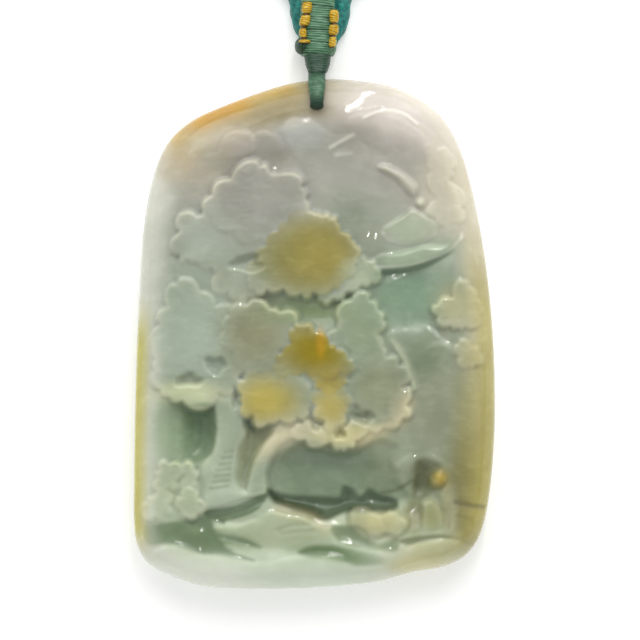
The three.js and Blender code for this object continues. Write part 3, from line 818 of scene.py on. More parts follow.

# Places cut down inside crisp edges, darkened with painted shade
RECESSES: dict[str, Recess] = {
    "left_hollow": Recess((
        (-20.2, -8.9), (-15.9, -8.9), (-13.2, -8.8), (-12.6, -10), (-12.6, -13.5), (-13.2, -15.3),
        (-14.6, -16.2), (-16.4, -16.4), (-20, -16.4)),
        0.4, tone(102, 126, 92), 0.54, fade=(-21, -13.5)),
    "cave": Recess((
        (-0.4, -13.5), (-2.7, -13.9), (-4.4, -15.1), (-5.6, -17.1), (-6.1, -18.8), (-5.9, -20.1),
        (-5.1, -21), (-3.4, -21.8), (-1.4, -22.3), (-0.1, -22.9), (1.5, -23.3), (2.7, -22.9),
        (4.1, -22.5), (7.1, -22.5), (10.5, -22.2), (12.5, -20.8), (11, -18.5), (10.4, -16.2),
        (10.8, -14.2), (8.2, -13), (5.5, -14.2), (3, -15.1)), 0.4, tone(134, 146, 118), 0.4),
    "cave_foot": Recess((
        (-5.9, -19.6), (-5.4, -19.8), (-3.4, -20.3), (-0.7, -20.5), (1.3, -20.6), (3.1, -20.6),
        (3.6, -19.3), (4.8, -19.5), (5.8, -20.5), (6.9, -19.6), (8.5, -20.3), (10.5, -21),
        (10.5, -22.2), (7.1, -22.5), (4.1, -22.6), (2.7, -23.2), (1.5, -23.7), (-0.1, -23.3),
        (-1.4, -22.7), (-3.4, -22.2), (-5.1, -21.4)), 0.4, tone(36, 50, 24), 0.78, 0.4),
    "niche": Recess((
        (12.8, -16.1), (14.2, -15.8), (16.2, -16.6), (15.5, -17.5), (14.7, -18.1), (14.7, -19.5),
        (15.2, -19.8), (14.2, -20.6), (12.5, -20.8), (12.5, -18.8), (12.8, -17.5)),
        0.3, tone(92, 96, 60), 0.5),
    "left_groove": Recess((
        (-21.9, -24.5), (-18.2, -23.8), (-14.5, -23.2), (-13.4, -22.8), (-12.8, -24.2), (-12.5, -25.2),
        (-10.1, -25.7), (-8.1, -26.2), (-6.7, -27.1), (-9.4, -26.7), (-11.4, -26.7), (-10.1, -27.7),
        (-7.6, -28.7), (-12.4, -28), (-14.5, -27.9), (-16.5, -27.1), (-18.5, -26.6), (-21.2, -26.6)),
        0.05, tone(102, 121, 90), 0.8, 0.4, (-24.5, -18)),
    "root_wedge": Recess((
        (-14.1, -22.7), (-10.1, -21.7), (-6.1, -20.3), (-6.7, -21.8), (-8.1, -22.8), (-11.1, -23.7),
        (-12.4, -23.8)), 0.15, tone(98, 117, 88), 0.85, 0.25),
    "front_groove": Recess((
        (-2.1, -27.7), (-0.7, -26.9), (2, -26.7), (3.8, -27), (6.1, -27.5), (8.1, -28), (9, -28.8),
        (7.4, -29.4), (5.2, -29.4), (4.1, -28.9), (1.5, -28.2), (-0.5, -28.2)),
        0.2, tone(98, 120, 82), 0.85, 0.4, (10, 2)),
    "mound_shade": Recess((
        (2.1, -24.6), (4.1, -24.2), (6.5, -25.7), (8.1, -26.5), (10.6, -25.8), (10.5, -27.4),
        (7, -27.2), (4.1, -26.7), (2.8, -25.9)), 0.25, tone(112, 128, 96), 0.7),
    "fork": Recess((
        (-9.7, -18.9), (-9.6, -15.8), (-8.7, -13.8), (-8.6, -12.1), (-7.1, -11.6), (-4.6, -11.5),
        (-5.7, -13.1), (-6.8, -14.8), (-8, -17.3), (-8.7, -19.6)), 0.2, tone(132, 138, 104), 0.6),
    "shelf_line": Recess((
        (10.5, -26.2), (13.8, -25.5), (16.9, -25.5), (20.2, -26.9), (18.2, -26), (15.5, -26),
        (11.8, -26.7)), 0.25, tone(112, 116, 82), 0.75, 0.3),
}

# Dark gaps between the leaves, a dimple in the mound and the back of the niche
PITS: tuple[Hollow, ...] = (
    Hollow(-15.9, -5.8, (1.8, 0.8), 0.9), Hollow(-12.5, -3.9, (1.4, 1.1), 0.8),
    Hollow(0.2, -11.4, (0.9, 0.9), 0.7), Hollow(3.3, -12.6, (0.8, 0.7), 1.0),
    Hollow(6.2, -10.6, (1.5, 0.8), 0.7), Hollow(-8.5, 9.0, (2.1, 1.1), 0.8),
    Hollow(-8.2, -11.4, (0.9, 1.1), 0.6), Hollow(-10.0, -8.2, (0.5, 1.4), 0.7),
    Hollow(11.5, -6.7, (0.6, 0.4), 0.4), Hollow(-11.7, -23.9, (0.35, 0.3), 0.6),
    Hollow(13.7, -18.2, (1.5, 2.0), 0.4),
)

# Strokes cut in the ground before the forms stand on it
GROUND_STROKES: tuple[Stroke, ...] = (
    Stroke(((8.1, 7.7), (11, 8.1), (14.2, 9), (16.8, 10.4)), 0.7, 0.4),
    Stroke(((14.2, -2), (15.2, -1.5), (16.5, -1.6), (17.5, -2.5)), 0.35, -0.15),
)

# Strokes on the finished forms: roots, folds and engraved lines
FACE_STROKES: tuple[Stroke, ...] = (
    Stroke(((-4.8, -24.95), (-3, -24.33), (-0.3, -24.15)), 0.22, 0.2),
    Stroke(((-4.3, -25.3), (-2, -25), (-0.1, -25)), 0.22, 0.18),
    Stroke(((17.9, -21.4), (19.6, -21.8), (21.4, -22)), 0.3, 0.25),
    Stroke(((18.2, -22.7), (19.8, -23.1), (21.4, -23.4)), 0.22, -0.12),
    Stroke(((2, 23.6), (3.4, 24.4), (4.9, 25.2)), 0.26, -0.24),
    Stroke(((2.7, 22.6), (4.6, 22.9)), 0.3, -0.12),
    Stroke(((6.2, 27.4), (8, 28.2), (9.8, 28.4), (11.5, 27.9), (13, 26.7)), 0.26, -0.2),
    Stroke(((14.5, 9.2), (16.8, 10.4), (18, 11.6), (18.6, 12.6)), 0.3, 0.2),
    Stroke(((-12.6, -23.2), (-9.4, -22.3), (-6.6, -21.2)), 0.25, 0.15),
    Stroke(((8.9, 6.4), (12.1, 6.5)), 0.2, -0.08),
    Stroke(((11.9, 2.4), (12, 1.2)), 0.3, -0.2),
    Stroke(((17, -20.2), (17.2, -22.4), (17, -24.8)), 0.22, 0.15),
    Stroke(((8.5, -22.8), (8.6, -23.6), (9.1, -24.4)), 0.35, 0.15),
)


def bark_tick(index: int) -> Stroke:
    """One short cut across the trunk's bark, lower and longer than the one before it.

    Args:
        index: Number of the cut, from the top.

    Returns:
        The cut.
    """
    left = (-11.4 - 0.3 * index, -15 - 0.76 * index)
    right = (-10.4 - 0.1 * index, -14.85 - 0.74 * index)
    return Stroke((left, right), 0.2, 0.14 + 0.06 * (index % 2))


BARK_TICKS: tuple[Stroke, ...] = tuple(bark_tick(index) for index in range(7))


@dataclass(frozen=True)
class PlaqueSection:
    """The plaque's section from its edge inwards, in millimetres."""

    edge_z: float = 4.0
    back_round: float = 8.0
    front_round: float = 5.0
    front_rise: float = 3.9
    crown_rise: float = 1.1
    crown_reach: float = 18.0
    spine_half: float = 13.0
    proud: float = 0.4

    def back_height(self, inset: Array) -> Array:
        """Height of the rounded back at an inset from the edge."""
        reach = np.clip(1 - inset / self.back_round, 0, 1)
        return self.edge_z * (1 - np.sqrt(1 - reach ** 2))

    def front_height(self, inset: Array) -> Array:
        """Height of the uncarved front.

        Args:
            inset: Distances from the plaque's edge.

        Returns:
            The heights.
        """
        reach = np.clip(1 - inset / self.front_round, 0, 1)
        rest = 1 - np.clip((inset - self.front_round) / (self.crown_reach - self.front_round), 0, 1)
        return self.edge_z + self.front_rise * np.sqrt(1 - reach ** 2) + self.crown_rise * (1 - rest ** 2)


@dataclass
class Carving:
    """The carved landscape as a surface: its height at any place on the front, in millimetres."""

    section: PlaqueSection
    ground_depth: float = 1.3
    ground_wave: float = 0.1
    lip_start: float = 2.6
    lip_end: float = 9.5
    lip_top: float = 2.2
    lip_span: tuple[float, float] = (20.0, 27.0)
    lobe_sizes: tuple[float, float] = (0.45, 1.55)
    lobe_depth: float = 0.3
    lobe_inset: float = 0.55
    lobe_round: float = 0.6
    lobe_steps: int = 10
    fewest_lobes: int = 5
    leaf_wave: float = 0.1
    leaf_spacing: float = 0.85
    leaf_cut: float = 0.09
    leaf_sharpness: int = 6
    leaf_span: tuple[float, float] = (0.3, 1.0)
    rim_width: float = 0.8
    pad_wall: float = 0.15
    foot: float = 0.4
    fillet: float = 0.14
    recess_wall: float = 1.1
    pit_wall: tuple[float, float] = (0.45, 1.2)
    bank_fade: float = 0.8
    crest_level: float = 0.4
    shoulder_fall: float = 0.0018
    shoulder_span: tuple[float, float] = (22.0, 29.0)
    top_fillet: float = 0.3
    head: Ball = (15.7, -18.4, 7.0, 1.2)
    ball_fillet: float = 0.1
    face_turn: float = -0.25
    face_relief: float = 0.03
    pearl: Ball = (13.4, 16.6, 7.3, 0.6)
    outline_steps: int = 480
    form_steps: int = 120
    edge_steps: int = 140
    margin: float = 1.0
    seed: int = 7

    def inset(self, x: Array, y: Array) -> Array:
        """Distance of each point inwards from the plaque's edge."""
        return np.maximum(depth_inside(x, y, even_ring(PLAQUE_OUTLINE, self.outline_steps)), 0)

    def lobed_edge(self, motif: Motif, rng: np.random.Generator) -> Array:
        """The scalloped edge of a leaf pad.

        Args:
            motif: The pad.
            rng: Source of the differences between lobes.

        Returns:
            Points along the lobes.
        """
        curve = smooth_curve(motif.edge, closed=True)
        count = max(self.fewest_lobes, round(run_length(curve, True) / motif.lobe))
        sizes = rng.uniform(*self.lobe_sizes, count)
        bounds = np.concatenate([[0], np.cumsum(sizes)]) / sizes.sum()
        ring = evenly(curve, count * self.lobe_steps, True)
        way = ring_ways(ring)
        outward = np.stack([way[:, 1], -way[:, 0]], axis=1)
        if runs_clockwise(ring):
            outward = -outward
        share = np.arange(len(ring)) / len(ring)
        lobe = np.minimum(np.searchsorted(bounds, share, side="right") - 1, count - 1)
        within = (share - bounds[lobe]) / (bounds[lobe + 1] - bounds[lobe])
        swell = np.sin(np.pi * within) ** self.lobe_round * sizes[lobe] - self.lobe_inset
        return ring + outward * (self.lobe_depth * motif.lobe * swell)[:, None]

    def near(self, x: Array, y: Array, line: Array, margin: float) -> Array:
        """Which points lie in the box around a line, with a margin."""
        low, high = line.min(axis=0) - margin, line.max(axis=0) + margin
        return (x > low[0]) & (x < high[0]) & (y > low[1]) & (y < high[1])

    def shouldered(self, inside: Array, shoulder: float) -> Array:
        """The rounded rise of a form from its edge inwards, as a share of its height."""
        share = np.clip((inside + self.pad_wall) / (self.pad_wall + shoulder), 0, 1)
        return np.sqrt(1 - (1 - share) ** 2)

    def raise_form(self, z: Array, x: Array, y: Array, motif: Motif) -> Array:
        """Stand one plain form on the surface.

        Args:
            z: Heights so far.
            x: Points' X.
            y: Points' Y.
            motif: The form.

        Returns:
            The new heights.
        """
        ring = even_ring(motif.edge, self.form_steps)
        where = self.near(x, y, ring, self.margin)
        inside = depth_inside(x[where], y[where], ring)
        rise = self.shouldered(inside, motif.shoulder)
        swell, reach = CREST_SWELL[motif.crest]
        top = motif.top + swell * (self.crest_level - np.exp(-np.maximum(inside, 0) / reach))
        return self.stand(z, where, top, rise)

    def stand(self, z: Array, where: Array, top: Array, rise: Array) -> Array:
        """Join a form to the surface under it.

        Args:
            z: Heights so far.
            where: Mask of the points near the form.
            top: Heights of the form's top at those points.
            rise: Share of the form's height at those points.

        Returns:
            The new heights.
        """
        z = z.copy()
        foot = z[where] - self.foot
        surface = foot + np.maximum(top - foot, 0) * rise
        z[where] = np.where(rise > 0, soft_max(z[where], surface, self.fillet), z[where])
        return z

    def raise_pad(self, z: Array, x: Array, y: Array, motif: Motif,
                  rng: np.random.Generator) -> tuple[Array, Array]:
        """Stand one flat pad of leaves on the surface, with engraved lines across it.

        Args:
            z: Heights so far.
            x: Points' X.
            y: Points' Y.
            motif: The pad.
            rng: Source of the differences between lobes.

        Returns:
            The new heights, and each point's distance inside the pad.
        """
        ring = self.lobed_edge(motif, rng)
        where = self.near(x, y, ring, self.margin)
        px, py = x[where], y[where]
        inside = depth_inside(px, py, ring)
        phase = rng.uniform(0, 2 * np.pi, 2)
        top = motif.top + self.leaf_wave * np.sin(0.6 * px + phase[0]) * np.sin(0.7 * py + phase[1])
        top = top - self.leaf_lines(px, py) * ramp(inside, *self.leaf_span)
        depth = np.full(x.shape, OUTSIDE)
        depth[where] = inside
        return self.stand(z, where, top, self.shouldered(inside, motif.shoulder)), depth

    def raise_bank(self, z: Array, x: Array, y: Array, bank: Bank) -> Array:
        """Lift the surface along a bank's upper edge.

        Args:
            z: Heights so far.
            x: Points' X.
            y: Points' Y.
            bank: The bank.

        Returns:
            The new heights.
        """
        ring = even_ring(bank.edge, self.edge_steps)
        where = self.near(x, y, ring, self.margin)
        inside = depth_inside(x[where], y[where], ring)
        high, low = ring[:, 1].max(), ring[:, 1].min()
        fade = np.clip((y[where] - low) / (high - low), 0, 1) ** self.bank_fade
        z = z.copy()
        z[where] += bank.lift * self.shouldered(inside, bank.shoulder) * fade
        return z

    def cut_stroke(self, z: Array, x: Array, y: Array, stroke: Stroke) -> Array:
        """Cut one line into the surface.

        Args:
            z: Heights so far.
            x: Points' X.
            y: Points' Y.
            stroke: The line.

        Returns:
            The new heights.
        """
        line = smooth_curve(stroke.line, closed=False, per_span=8)
        where = self.near(x, y, line, 3 * stroke.width)
        gap = distance_to_line(x[where], y[where], line)
        z = z.copy()
        z[where] -= stroke.depth * np.exp(-(gap / stroke.width) ** 2)
        return z

    def ground(self, x: Array, y: Array, inset: Array) -> Array:
        """The ground of the relief, rolling up into the plain rim.

        Args:
            x: Points' X.
            y: Points' Y.
            inset: Points' distance from the plaque's edge.

        Returns:
            The heights.
        """
        depth = np.full(x.shape, self.ground_depth)
        for hollow in GROUND_HOLLOWS:
            reach = ((x - hollow.x) / hollow.reach[0]) ** 2 + ((y - hollow.y) / hollow.reach[1]) ** 2
            depth = depth + hollow.depth * np.exp(-reach ** 2)
        depth = depth + self.ground_wave * np.sin(0.9 * x + 0.35 * y) * np.sin(0.5 * x - 0.8 * y)
        start = self.lip_start + self.lip_top * ramp(y, *self.lip_span)
        z = self.section.front_height(inset) - depth * ramp(inset, start, self.lip_end)
        z = z - self.shoulder_fall * x ** 2 * ramp(y, *self.shoulder_span) * ramp(inset, 0, 2.5)
        for recess in RECESSES.values():
            z = z - recess.depth * self.recessed(x, y, recess, 0.0, self.recess_wall)
        for stroke in GROUND_STROKES:
            z = self.cut_stroke(z, x, y, stroke)
        return z

    def recessed(self, x: Array, y: Array, recess: Recess, start: float, end: float) -> Array:
        """How far each point lies in a recess, 0 to 1.

        Args:
            x: Points' X.
            y: Points' Y.
            recess: The recess.
            start: Distance inside its edge that counts as 0.
            end: Distance inside its edge that counts as 1.

        Returns:
            The shares.
        """
        ring = even_ring(recess.edge, self.edge_steps)
        where = self.near(x, y, ring, self.margin)
        inside = depth_inside(x[where], y[where], ring)
        share = np.zeros(x.shape)
        share[where] = ramp(inside, start, end) * ramp(x[where], *recess.fade)
        return share

    def leaf_lines(self, x: Array, y: Array) -> Array:
        """Fine broken lines engraved across the leaves.

        Args:
            x: Points' X.
            y: Points' Y.

        Returns:
            The depth of the lines.
        """
        wave = y + 0.18 * np.sin(1.3 * x + 0.4 * y)
        lines = np.maximum(0, np.sin(2 * np.pi * wave / self.leaf_spacing)) ** self.leaf_sharpness
        broken = ramp(np.sin(1.9 * x + 0.7 * y) * np.sin(0.8 * x - 2.3 * y), 0.0, 0.5)
        return self.leaf_cut * lines * broken

    def sink_pit(self, z: Array, x: Array, y: Array, pit: Hollow) -> Array:
        """Sink a small gap with an uneven edge.

        Args:
            z: Heights so far.
            x: Points' X.
            y: Points' Y.
            pit: The gap.

        Returns:
            The new heights.
        """
        across, along = (x - pit.x) / pit.reach[0], (y - pit.y) / pit.reach[1]
        turn = np.arctan2(along, across)
        uneven = 1 + 0.16 * np.sin(3 * turn + pit.x) + 0.1 * np.sin(5 * turn + pit.y)
        return z - pit.depth * (1 - ramp(np.hypot(across, along) / uneven, *self.pit_wall))

    def front(self, x: Array, y: Array) -> CarvedFront:
        """The carved front.

        Args:
            x: Points' X.
            y: Points' Y.

        Returns:
            Its heights and what the colours need.
        """
        rng = np.random.default_rng(self.seed)
        inset = self.inset(x, y)
        z = self.ground(x, y, inset)
        for bank in BANKS.values():
            z = self.raise_bank(z, x, y, bank)
        for motif in FORMS.values():
            z = self.raise_form(z, x, y, motif)
        for stroke in FACE_STROKES + BARK_TICKS:
            z = self.cut_stroke(z, x, y, stroke)
        pads = {}
        for name, motif in LEAF_PADS.items():
            z, pads[name] = self.raise_pad(z, x, y, motif, rng)
        leaves = np.max(list(pads.values()), axis=0)
        uneven = 0.6 + 0.5 * np.sin(0.55 * x + 0.3 * y + 0.4) * np.sin(0.75 * y - 0.2 * x)
        rim = uneven * ramp(leaves, -0.2, 0.1) * np.exp(-(np.maximum(leaves, 0) / self.rim_width) ** 2)
        z = self.figure_head(z, x, y)
        z = self.dome(z, x, y, self.pearl)
        for pit in PITS:
            z = self.sink_pit(z, x, y, pit)
        limit = self.section.front_height(inset) + self.section.proud * ramp(inset, 0.6, 2.2)
        return CarvedFront(-soft_max(-z, -limit, self.top_fillet), inset, rim, pads)

    def dome(self, z: Array, x: Array, y: Array, ball: Ball) -> Array:
        """Set a ball in the surface.

        Args:
            z: Heights so far.
            x: Points' X.
            y: Points' Y.
            ball: The ball's middle and radius.

        Returns:
            The new heights.
        """
        bx, by, bz, radius = ball
        gap = np.hypot(x - bx, y - by)
        crown = bz + np.sqrt(np.clip(radius ** 2 - gap ** 2, 0, None))
        return np.where(gap < radius, soft_max(z, crown, self.ball_fillet), z)

    def figure_head(self, z: Array, x: Array, y: Array) -> Array:
        """The small head: a plain round form with a calm brow, nose and chin.

        Args:
            z: Heights so far.
            x: Points' X.
            y: Points' Y.

        Returns:
            The new heights.
        """
        z = self.dome(z, x, y, self.head)
        across, along = x - self.head[0] - self.face_turn, y - self.head[1]
        left_eye = ((across + 0.34) / 0.2) ** 2 + ((along - 0.1) / 0.14) ** 2
        right_eye = ((across - 0.34) / 0.2) ** 2 + ((along - 0.1) / 0.14) ** 2
        nose = (across / 0.14) ** 2 + ((along + 0.12) / 0.3) ** 2
        mouth = (across / 0.3) ** 2 + ((along + 0.55) / 0.12) ** 2
        hollows = np.exp(-left_eye) + np.exp(-right_eye) + np.exp(-mouth)
        return z + self.face_relief * (np.exp(-nose) - hollows)


# Colours of the stone, from the plaque's top to its foot; the pale tone at the foot is painted light, for
# light through the thin bottom edge
UPRIGHT_TONES: tuple[tuple[float, Colour], ...] = (
    (32.0, tone(190, 182, 166)), (22.0, tone(168, 166, 156)), (8.0, tone(152, 161, 143)),
    (-12.0, tone(148, 158, 138)), (-26.0, tone(178, 190, 162)), (-31.0, tone(218, 228, 208)),
)
# Painted light: paler tones near the plaque's left and right edges, for light through the thin edges
PAINTED_EDGE_LIGHT_LEFT = tone(216, 217, 202)
PAINTED_EDGE_LIGHT_RIGHT = tone(226, 217, 196)
# Painted shade: the deeper green mixed in where the carving is deepest
RECESS_GREEN = tone(108, 132, 104)
# Painted light: the paler tone mixed into raised crests
CREAM = tone(222, 214, 180)
# Painted light: the paler tone mixed into the leaves' outer edges
RIM_PALE = tone(226, 220, 192)
# Painted highlight: near-white drawn along polished ridges
PAINTED_HIGHLIGHT = tone(244, 242, 232)

# Patches of the stone's colour, with a few of painted shade and painted light marked below
STAINS_AND_PAINTED_LIGHT: tuple[StainOrPaintedLight, ...] = (
    StainOrPaintedLight(-5.5, 29.3, (8, 3), tone(150, 140, 108), 0.9, 0.3),
    StainOrPaintedLight(11, 27.5, (8, 4), tone(212, 204, 196), 0.7, -0.5),
    StainOrPaintedLight(16, 18, (3.5, 6), tone(200, 194, 172), 0.75),
    StainOrPaintedLight(-14, 22.5, (4.4, 4.4), tone(178, 170, 148), 0.78, 0.5),
    StainOrPaintedLight(0.7, 22.2, (5, 3.6), tone(150, 154, 140), 0.5),
    StainOrPaintedLight(-10.3, 24.5, (2.4, 1.6), tone(200, 188, 174), 0.4),
    StainOrPaintedLight(-13, 22, (1.8, 1.2), tone(176, 174, 156), 0.5),
    StainOrPaintedLight(-1.6, 25.4, (3.4, 1.8), tone(196, 200, 194), 0.6),
    StainOrPaintedLight(-4.6, 22.2, (2.2, 1.2), tone(150, 146, 130), 0.5),
    StainOrPaintedLight(4.6, 14.4, (4, 3.6), tone(134, 143, 122), 0.6),
    StainOrPaintedLight(-5, 29.2, (6, 2.2), tone(138, 128, 94), 0.7, 0.3),
    StainOrPaintedLight(-7, 17, (6.5, 5), tone(156, 155, 146), 0.7),
    StainOrPaintedLight(-14, 12, (4, 3.5), tone(168, 176, 162), 0.75),
    StainOrPaintedLight(-1.2, 9.6, (7.2, 5.2), tone(138, 132, 72), 0.9, within="gold_upper"),
    StainOrPaintedLight(0.9, 10.3, (4.6, 4.4), tone(152, 141, 76), 0.9, within="gold_upper"),
    StainOrPaintedLight(6.4, 7.6, (3, 2.4), tone(176, 184, 156), 0.8, within="gold_fringe"),
    StainOrPaintedLight(-15, 0, (5, 6), tone(170, 184, 166), 0.75),
    StainOrPaintedLight(-16, -7.6, (5, 1.6), tone(202, 206, 168), 0.85),
    StainOrPaintedLight(-7.5, 0, (4.4, 4.8), tone(143, 143, 112), 0.88),
    StainOrPaintedLight(-9.4, 6.4, (3, 2), tone(170, 177, 158), 0.6),
    StainOrPaintedLight(-0.6, 3, (6.5, 1.9), tone(138, 152, 114), 0.85),
    StainOrPaintedLight(0.6, -2, (6, 4), tone(142, 127, 28), 1.0, within="gold_lower"),
    StainOrPaintedLight(0.8, -1.2, (0.6, 2.0), tone(186, 142, 34), 0.6),
    StainOrPaintedLight(1.9, -6.2, (2.6, 2.2), tone(161, 147, 76), 0.95, within="gold_tail"),
    StainOrPaintedLight(2, -9.4, (2.6, 2.6), tone(178, 165, 94), 0.95, within="gold_drop"),
    StainOrPaintedLight(-6.2, -8.5, (4.4, 3.2), tone(178, 164, 84), 0.95, within="gold_base"),
    StainOrPaintedLight(6.3, 1, (3.4, 5), tone(147, 161, 131), 0.82),
    StainOrPaintedLight(8.3, -7, (3.8, 3.6), tone(140, 146, 114), 0.82),
    StainOrPaintedLight(11.2, -9.5, (1.6, 2.4), tone(186, 180, 150), 0.8),
    StainOrPaintedLight(4, -13, (5, 1.8), tone(200, 192, 142), 0.9),
    StainOrPaintedLight(-4.5, -13.2, (5, 2.2), tone(204, 197, 164), 0.85, 0.4),
    StainOrPaintedLight(-11.8, -15, (2.6, 6), tone(166, 177, 154), 0.8),
    StainOrPaintedLight(-11.2, -20.4, (3.4, 1.8), tone(183, 194, 173), 0.85),
    StainOrPaintedLight(-16.8, -12.4, (3.6, 4.2), tone(150, 168, 136), 0.9),
    StainOrPaintedLight(1.6, -18.2, (7.5, 4.2), tone(134, 149, 130), 0.8),
    StainOrPaintedLight(8.5, -17.5, (2.6, 2.6), tone(152, 152, 126), 0.6),
    StainOrPaintedLight(12.4, 4.8, (5.5, 4.4), tone(132, 158, 133), 0.85),
    StainOrPaintedLight(13, 10, (5.5, 1.6), tone(159, 174, 149), 0.8, 0.2),
    StainOrPaintedLight(12.2, 13.2, (3.6, 2), tone(174, 184, 160), 0.8),
    StainOrPaintedLight(17.8, 3.6, (2.6, 3), tone(178, 174, 136), 0.8),
    StainOrPaintedLight(19.4, -2.6, (1.6, 1.8), tone(192, 186, 148), 0.7),
    StainOrPaintedLight(12.6, -23, (1.4, 2.6), tone(132, 134, 98), 0.85),
    StainOrPaintedLight(18.8, -23.6, (1.0, 2.6), tone(136, 132, 92), 0.7),
    StainOrPaintedLight(15.5, -9, (5, 8), tone(146, 150, 125), 0.8),
    StainOrPaintedLight(13.4, -3.4, (3, 2.8), tone(122, 136, 110), 0.7),
    StainOrPaintedLight(19.4, -19.5, (3.2, 6.5), tone(118, 114, 72), 0.92),
    StainOrPaintedLight(-17.8, 22.2, (3, 3), tone(182, 168, 140), 0.6),
    StainOrPaintedLight(19.4, 19.6, (2.2, 4), tone(204, 196, 168), 0.6),
    StainOrPaintedLight(19.8, -26.3, (2.4, 3), tone(150, 146, 88), 0.6),
    StainOrPaintedLight(-17.6, -20, (3.4, 3.4), tone(171, 182, 153), 0.82),
    StainOrPaintedLight(8.1, -23.8, (4, 2), tone(184, 181, 137), 0.92),
    StainOrPaintedLight(17, -22.4, (1.1, 3), tone(164, 162, 128), 0.9),
    StainOrPaintedLight(11, 19.6, (3, 1.2), tone(196, 190, 176), 0.6, -0.7),
    StainOrPaintedLight(15, -23, (1.5, 2), tone(162, 164, 114), 0.85),
    StainOrPaintedLight(15.7, -18.3, (1.3, 1.3), tone(164, 144, 58), 1.0),
    StainOrPaintedLight(-4, -25.2, (7, 2), tone(167, 175, 145), 0.8),
    # Painted shade in the left groove
    StainOrPaintedLight(-14, -25.6, (6, 1.2), tone(130, 148, 112), 0.7, -0.15),
    # Painted shade in the front groove
    StainOrPaintedLight(3, -28, (6, 0.9), tone(132, 152, 114), 0.7, -0.15),
    StainOrPaintedLight(15.6, -27.8, (4.4, 1.8), tone(196, 197, 152), 0.9),
    StainOrPaintedLight(13, -29.4, (3.5, 1.4), tone(218, 214, 158), 0.7),
    # Painted shade in the niche beside the head
    StainOrPaintedLight(13.5, -18, (1.7, 2.4), tone(108, 112, 80), 0.8),
    StainOrPaintedLight(14, -21.4, (2.6, 3), tone(128, 128, 96), 0.4),
    # Painted shade round the hole
    StainOrPaintedLight(0.3, 28.7, (1.7, 1.5), tone(134, 126, 100), 0.7),
    # Painted shade in the hollow right of the gold leaves
    StainOrPaintedLight(7.8, 11.6, (1.6, 2.4), tone(134, 140, 120), 0.5),
    # Painted light: near-white along the foot, for light through the thin bottom edge
    StainOrPaintedLight(-15, -31, (8, 2.4), tone(238, 244, 228), 0.8, -0.15),
    StainOrPaintedLight(20, -12, (2.4, 9), tone(156, 148, 88), 0.6),
)

OCHRE_LINE: Points = ((-17.6, 25), (-16, 26.4), (-13.4, 28), (-10.4, 29.3), (-6.6, 30.5), (-3.5, 31.4))
OCHRE_HEART: Points = ((-14.4, 27.3), (-12.2, 28.4), (-9.8, 29.4))

# Ochre skin on the upper edge, the stone's own colour; painted shade along the cave's rim, the eave and
# cut lines; and painted highlights along polished ridges
SEAMS_AND_PAINTED_LIGHT: tuple[ColourLine, ...] = (
    # Painted shade along the cave's lower rim
    ColourLine(((-5.6, -20.2), (-4.6, -21), (-3, -21.6), (-1, -22.2), (0.6, -22.8)), 0.6,
         tone(24, 40, 16), 0.6),
    ColourLine(OCHRE_LINE, 2.4, tone(180, 161, 106), 0.6),
    ColourLine(OCHRE_LINE, 0.9, tone(186, 146, 62), 0.5),
    ColourLine(OCHRE_HEART, 1.6, tone(186, 138, 38), 0.75),
    # Painted shade along the cut line right of the robe
    ColourLine(((17.9, -21.4), (19.6, -21.8), (21.4, -22)), 0.35, tone(124, 120, 84), 0.7),
    ColourLine(((9.9, -0.8), (11, -2.2), (12.1, -4.8), (12.8, -7)), 0.5, tone(178, 184, 158), 0.5),
    # Painted shadow under the eave
    ColourLine(((8.1, 7.6), (11, 8), (14.2, 8.8), (16.8, 10.2)), 0.5, tone(112, 136, 108), 0.5),
    # Painted shade along the upper edge of the cave's foot
    ColourLine(((8.5, -20.2), (10.4, -19.8), (12.4, -18.6)), 0.3, tone(104, 112, 86), 0.7),
    ColourLine(((5.5, -13.6), (8.5, -12), (11, -10.8), (11.9, -8.6)), 0.8, tone(208, 200, 162), 0.6),
    ColourLine(((-4.6, -22.3), (-2.6, -22.8), (-0.4, -23.4), (1.4, -24.6)), 0.8, tone(190, 174, 132), 0.35),
    # Painted highlights along the polished ridges of the sky, the eave and the roof
    ColourLine(((6.2, 27.4), (8, 28.2), (9.8, 28.4), (11.5, 27.9), (13, 26.7)), 0.2, PAINTED_HIGHLIGHT, 0.45),
    ColourLine(((2, 23.6), (3.4, 24.4), (4.9, 25.2)), 0.24, PAINTED_HIGHLIGHT, 0.25),
    ColourLine(((2.7, 22.6), (4.6, 22.9)), 0.24, PAINTED_HIGHLIGHT, 0.12),
    ColourLine(((7.7, 8.5), (11.2, 8.6), (14.1, 9.3), (17, 10.6), (18.7, 12.3)), 0.2, PAINTED_HIGHLIGHT, 0.24),
    ColourLine(((8.6, 12.9), (9.3, 12), (11.5, 11.4), (13.6, 11.7), (15.4, 12.7)), 0.22, PAINTED_HIGHLIGHT, 0.2),
)

BARK_SHADE = tone(118, 128, 104)
BACK_PALE = tone(200, 208, 188)
LEFT_RIM_YELLOW = tone(186, 178, 72)
RIGHT_RIM_YELLOW = tone(168, 158, 82)


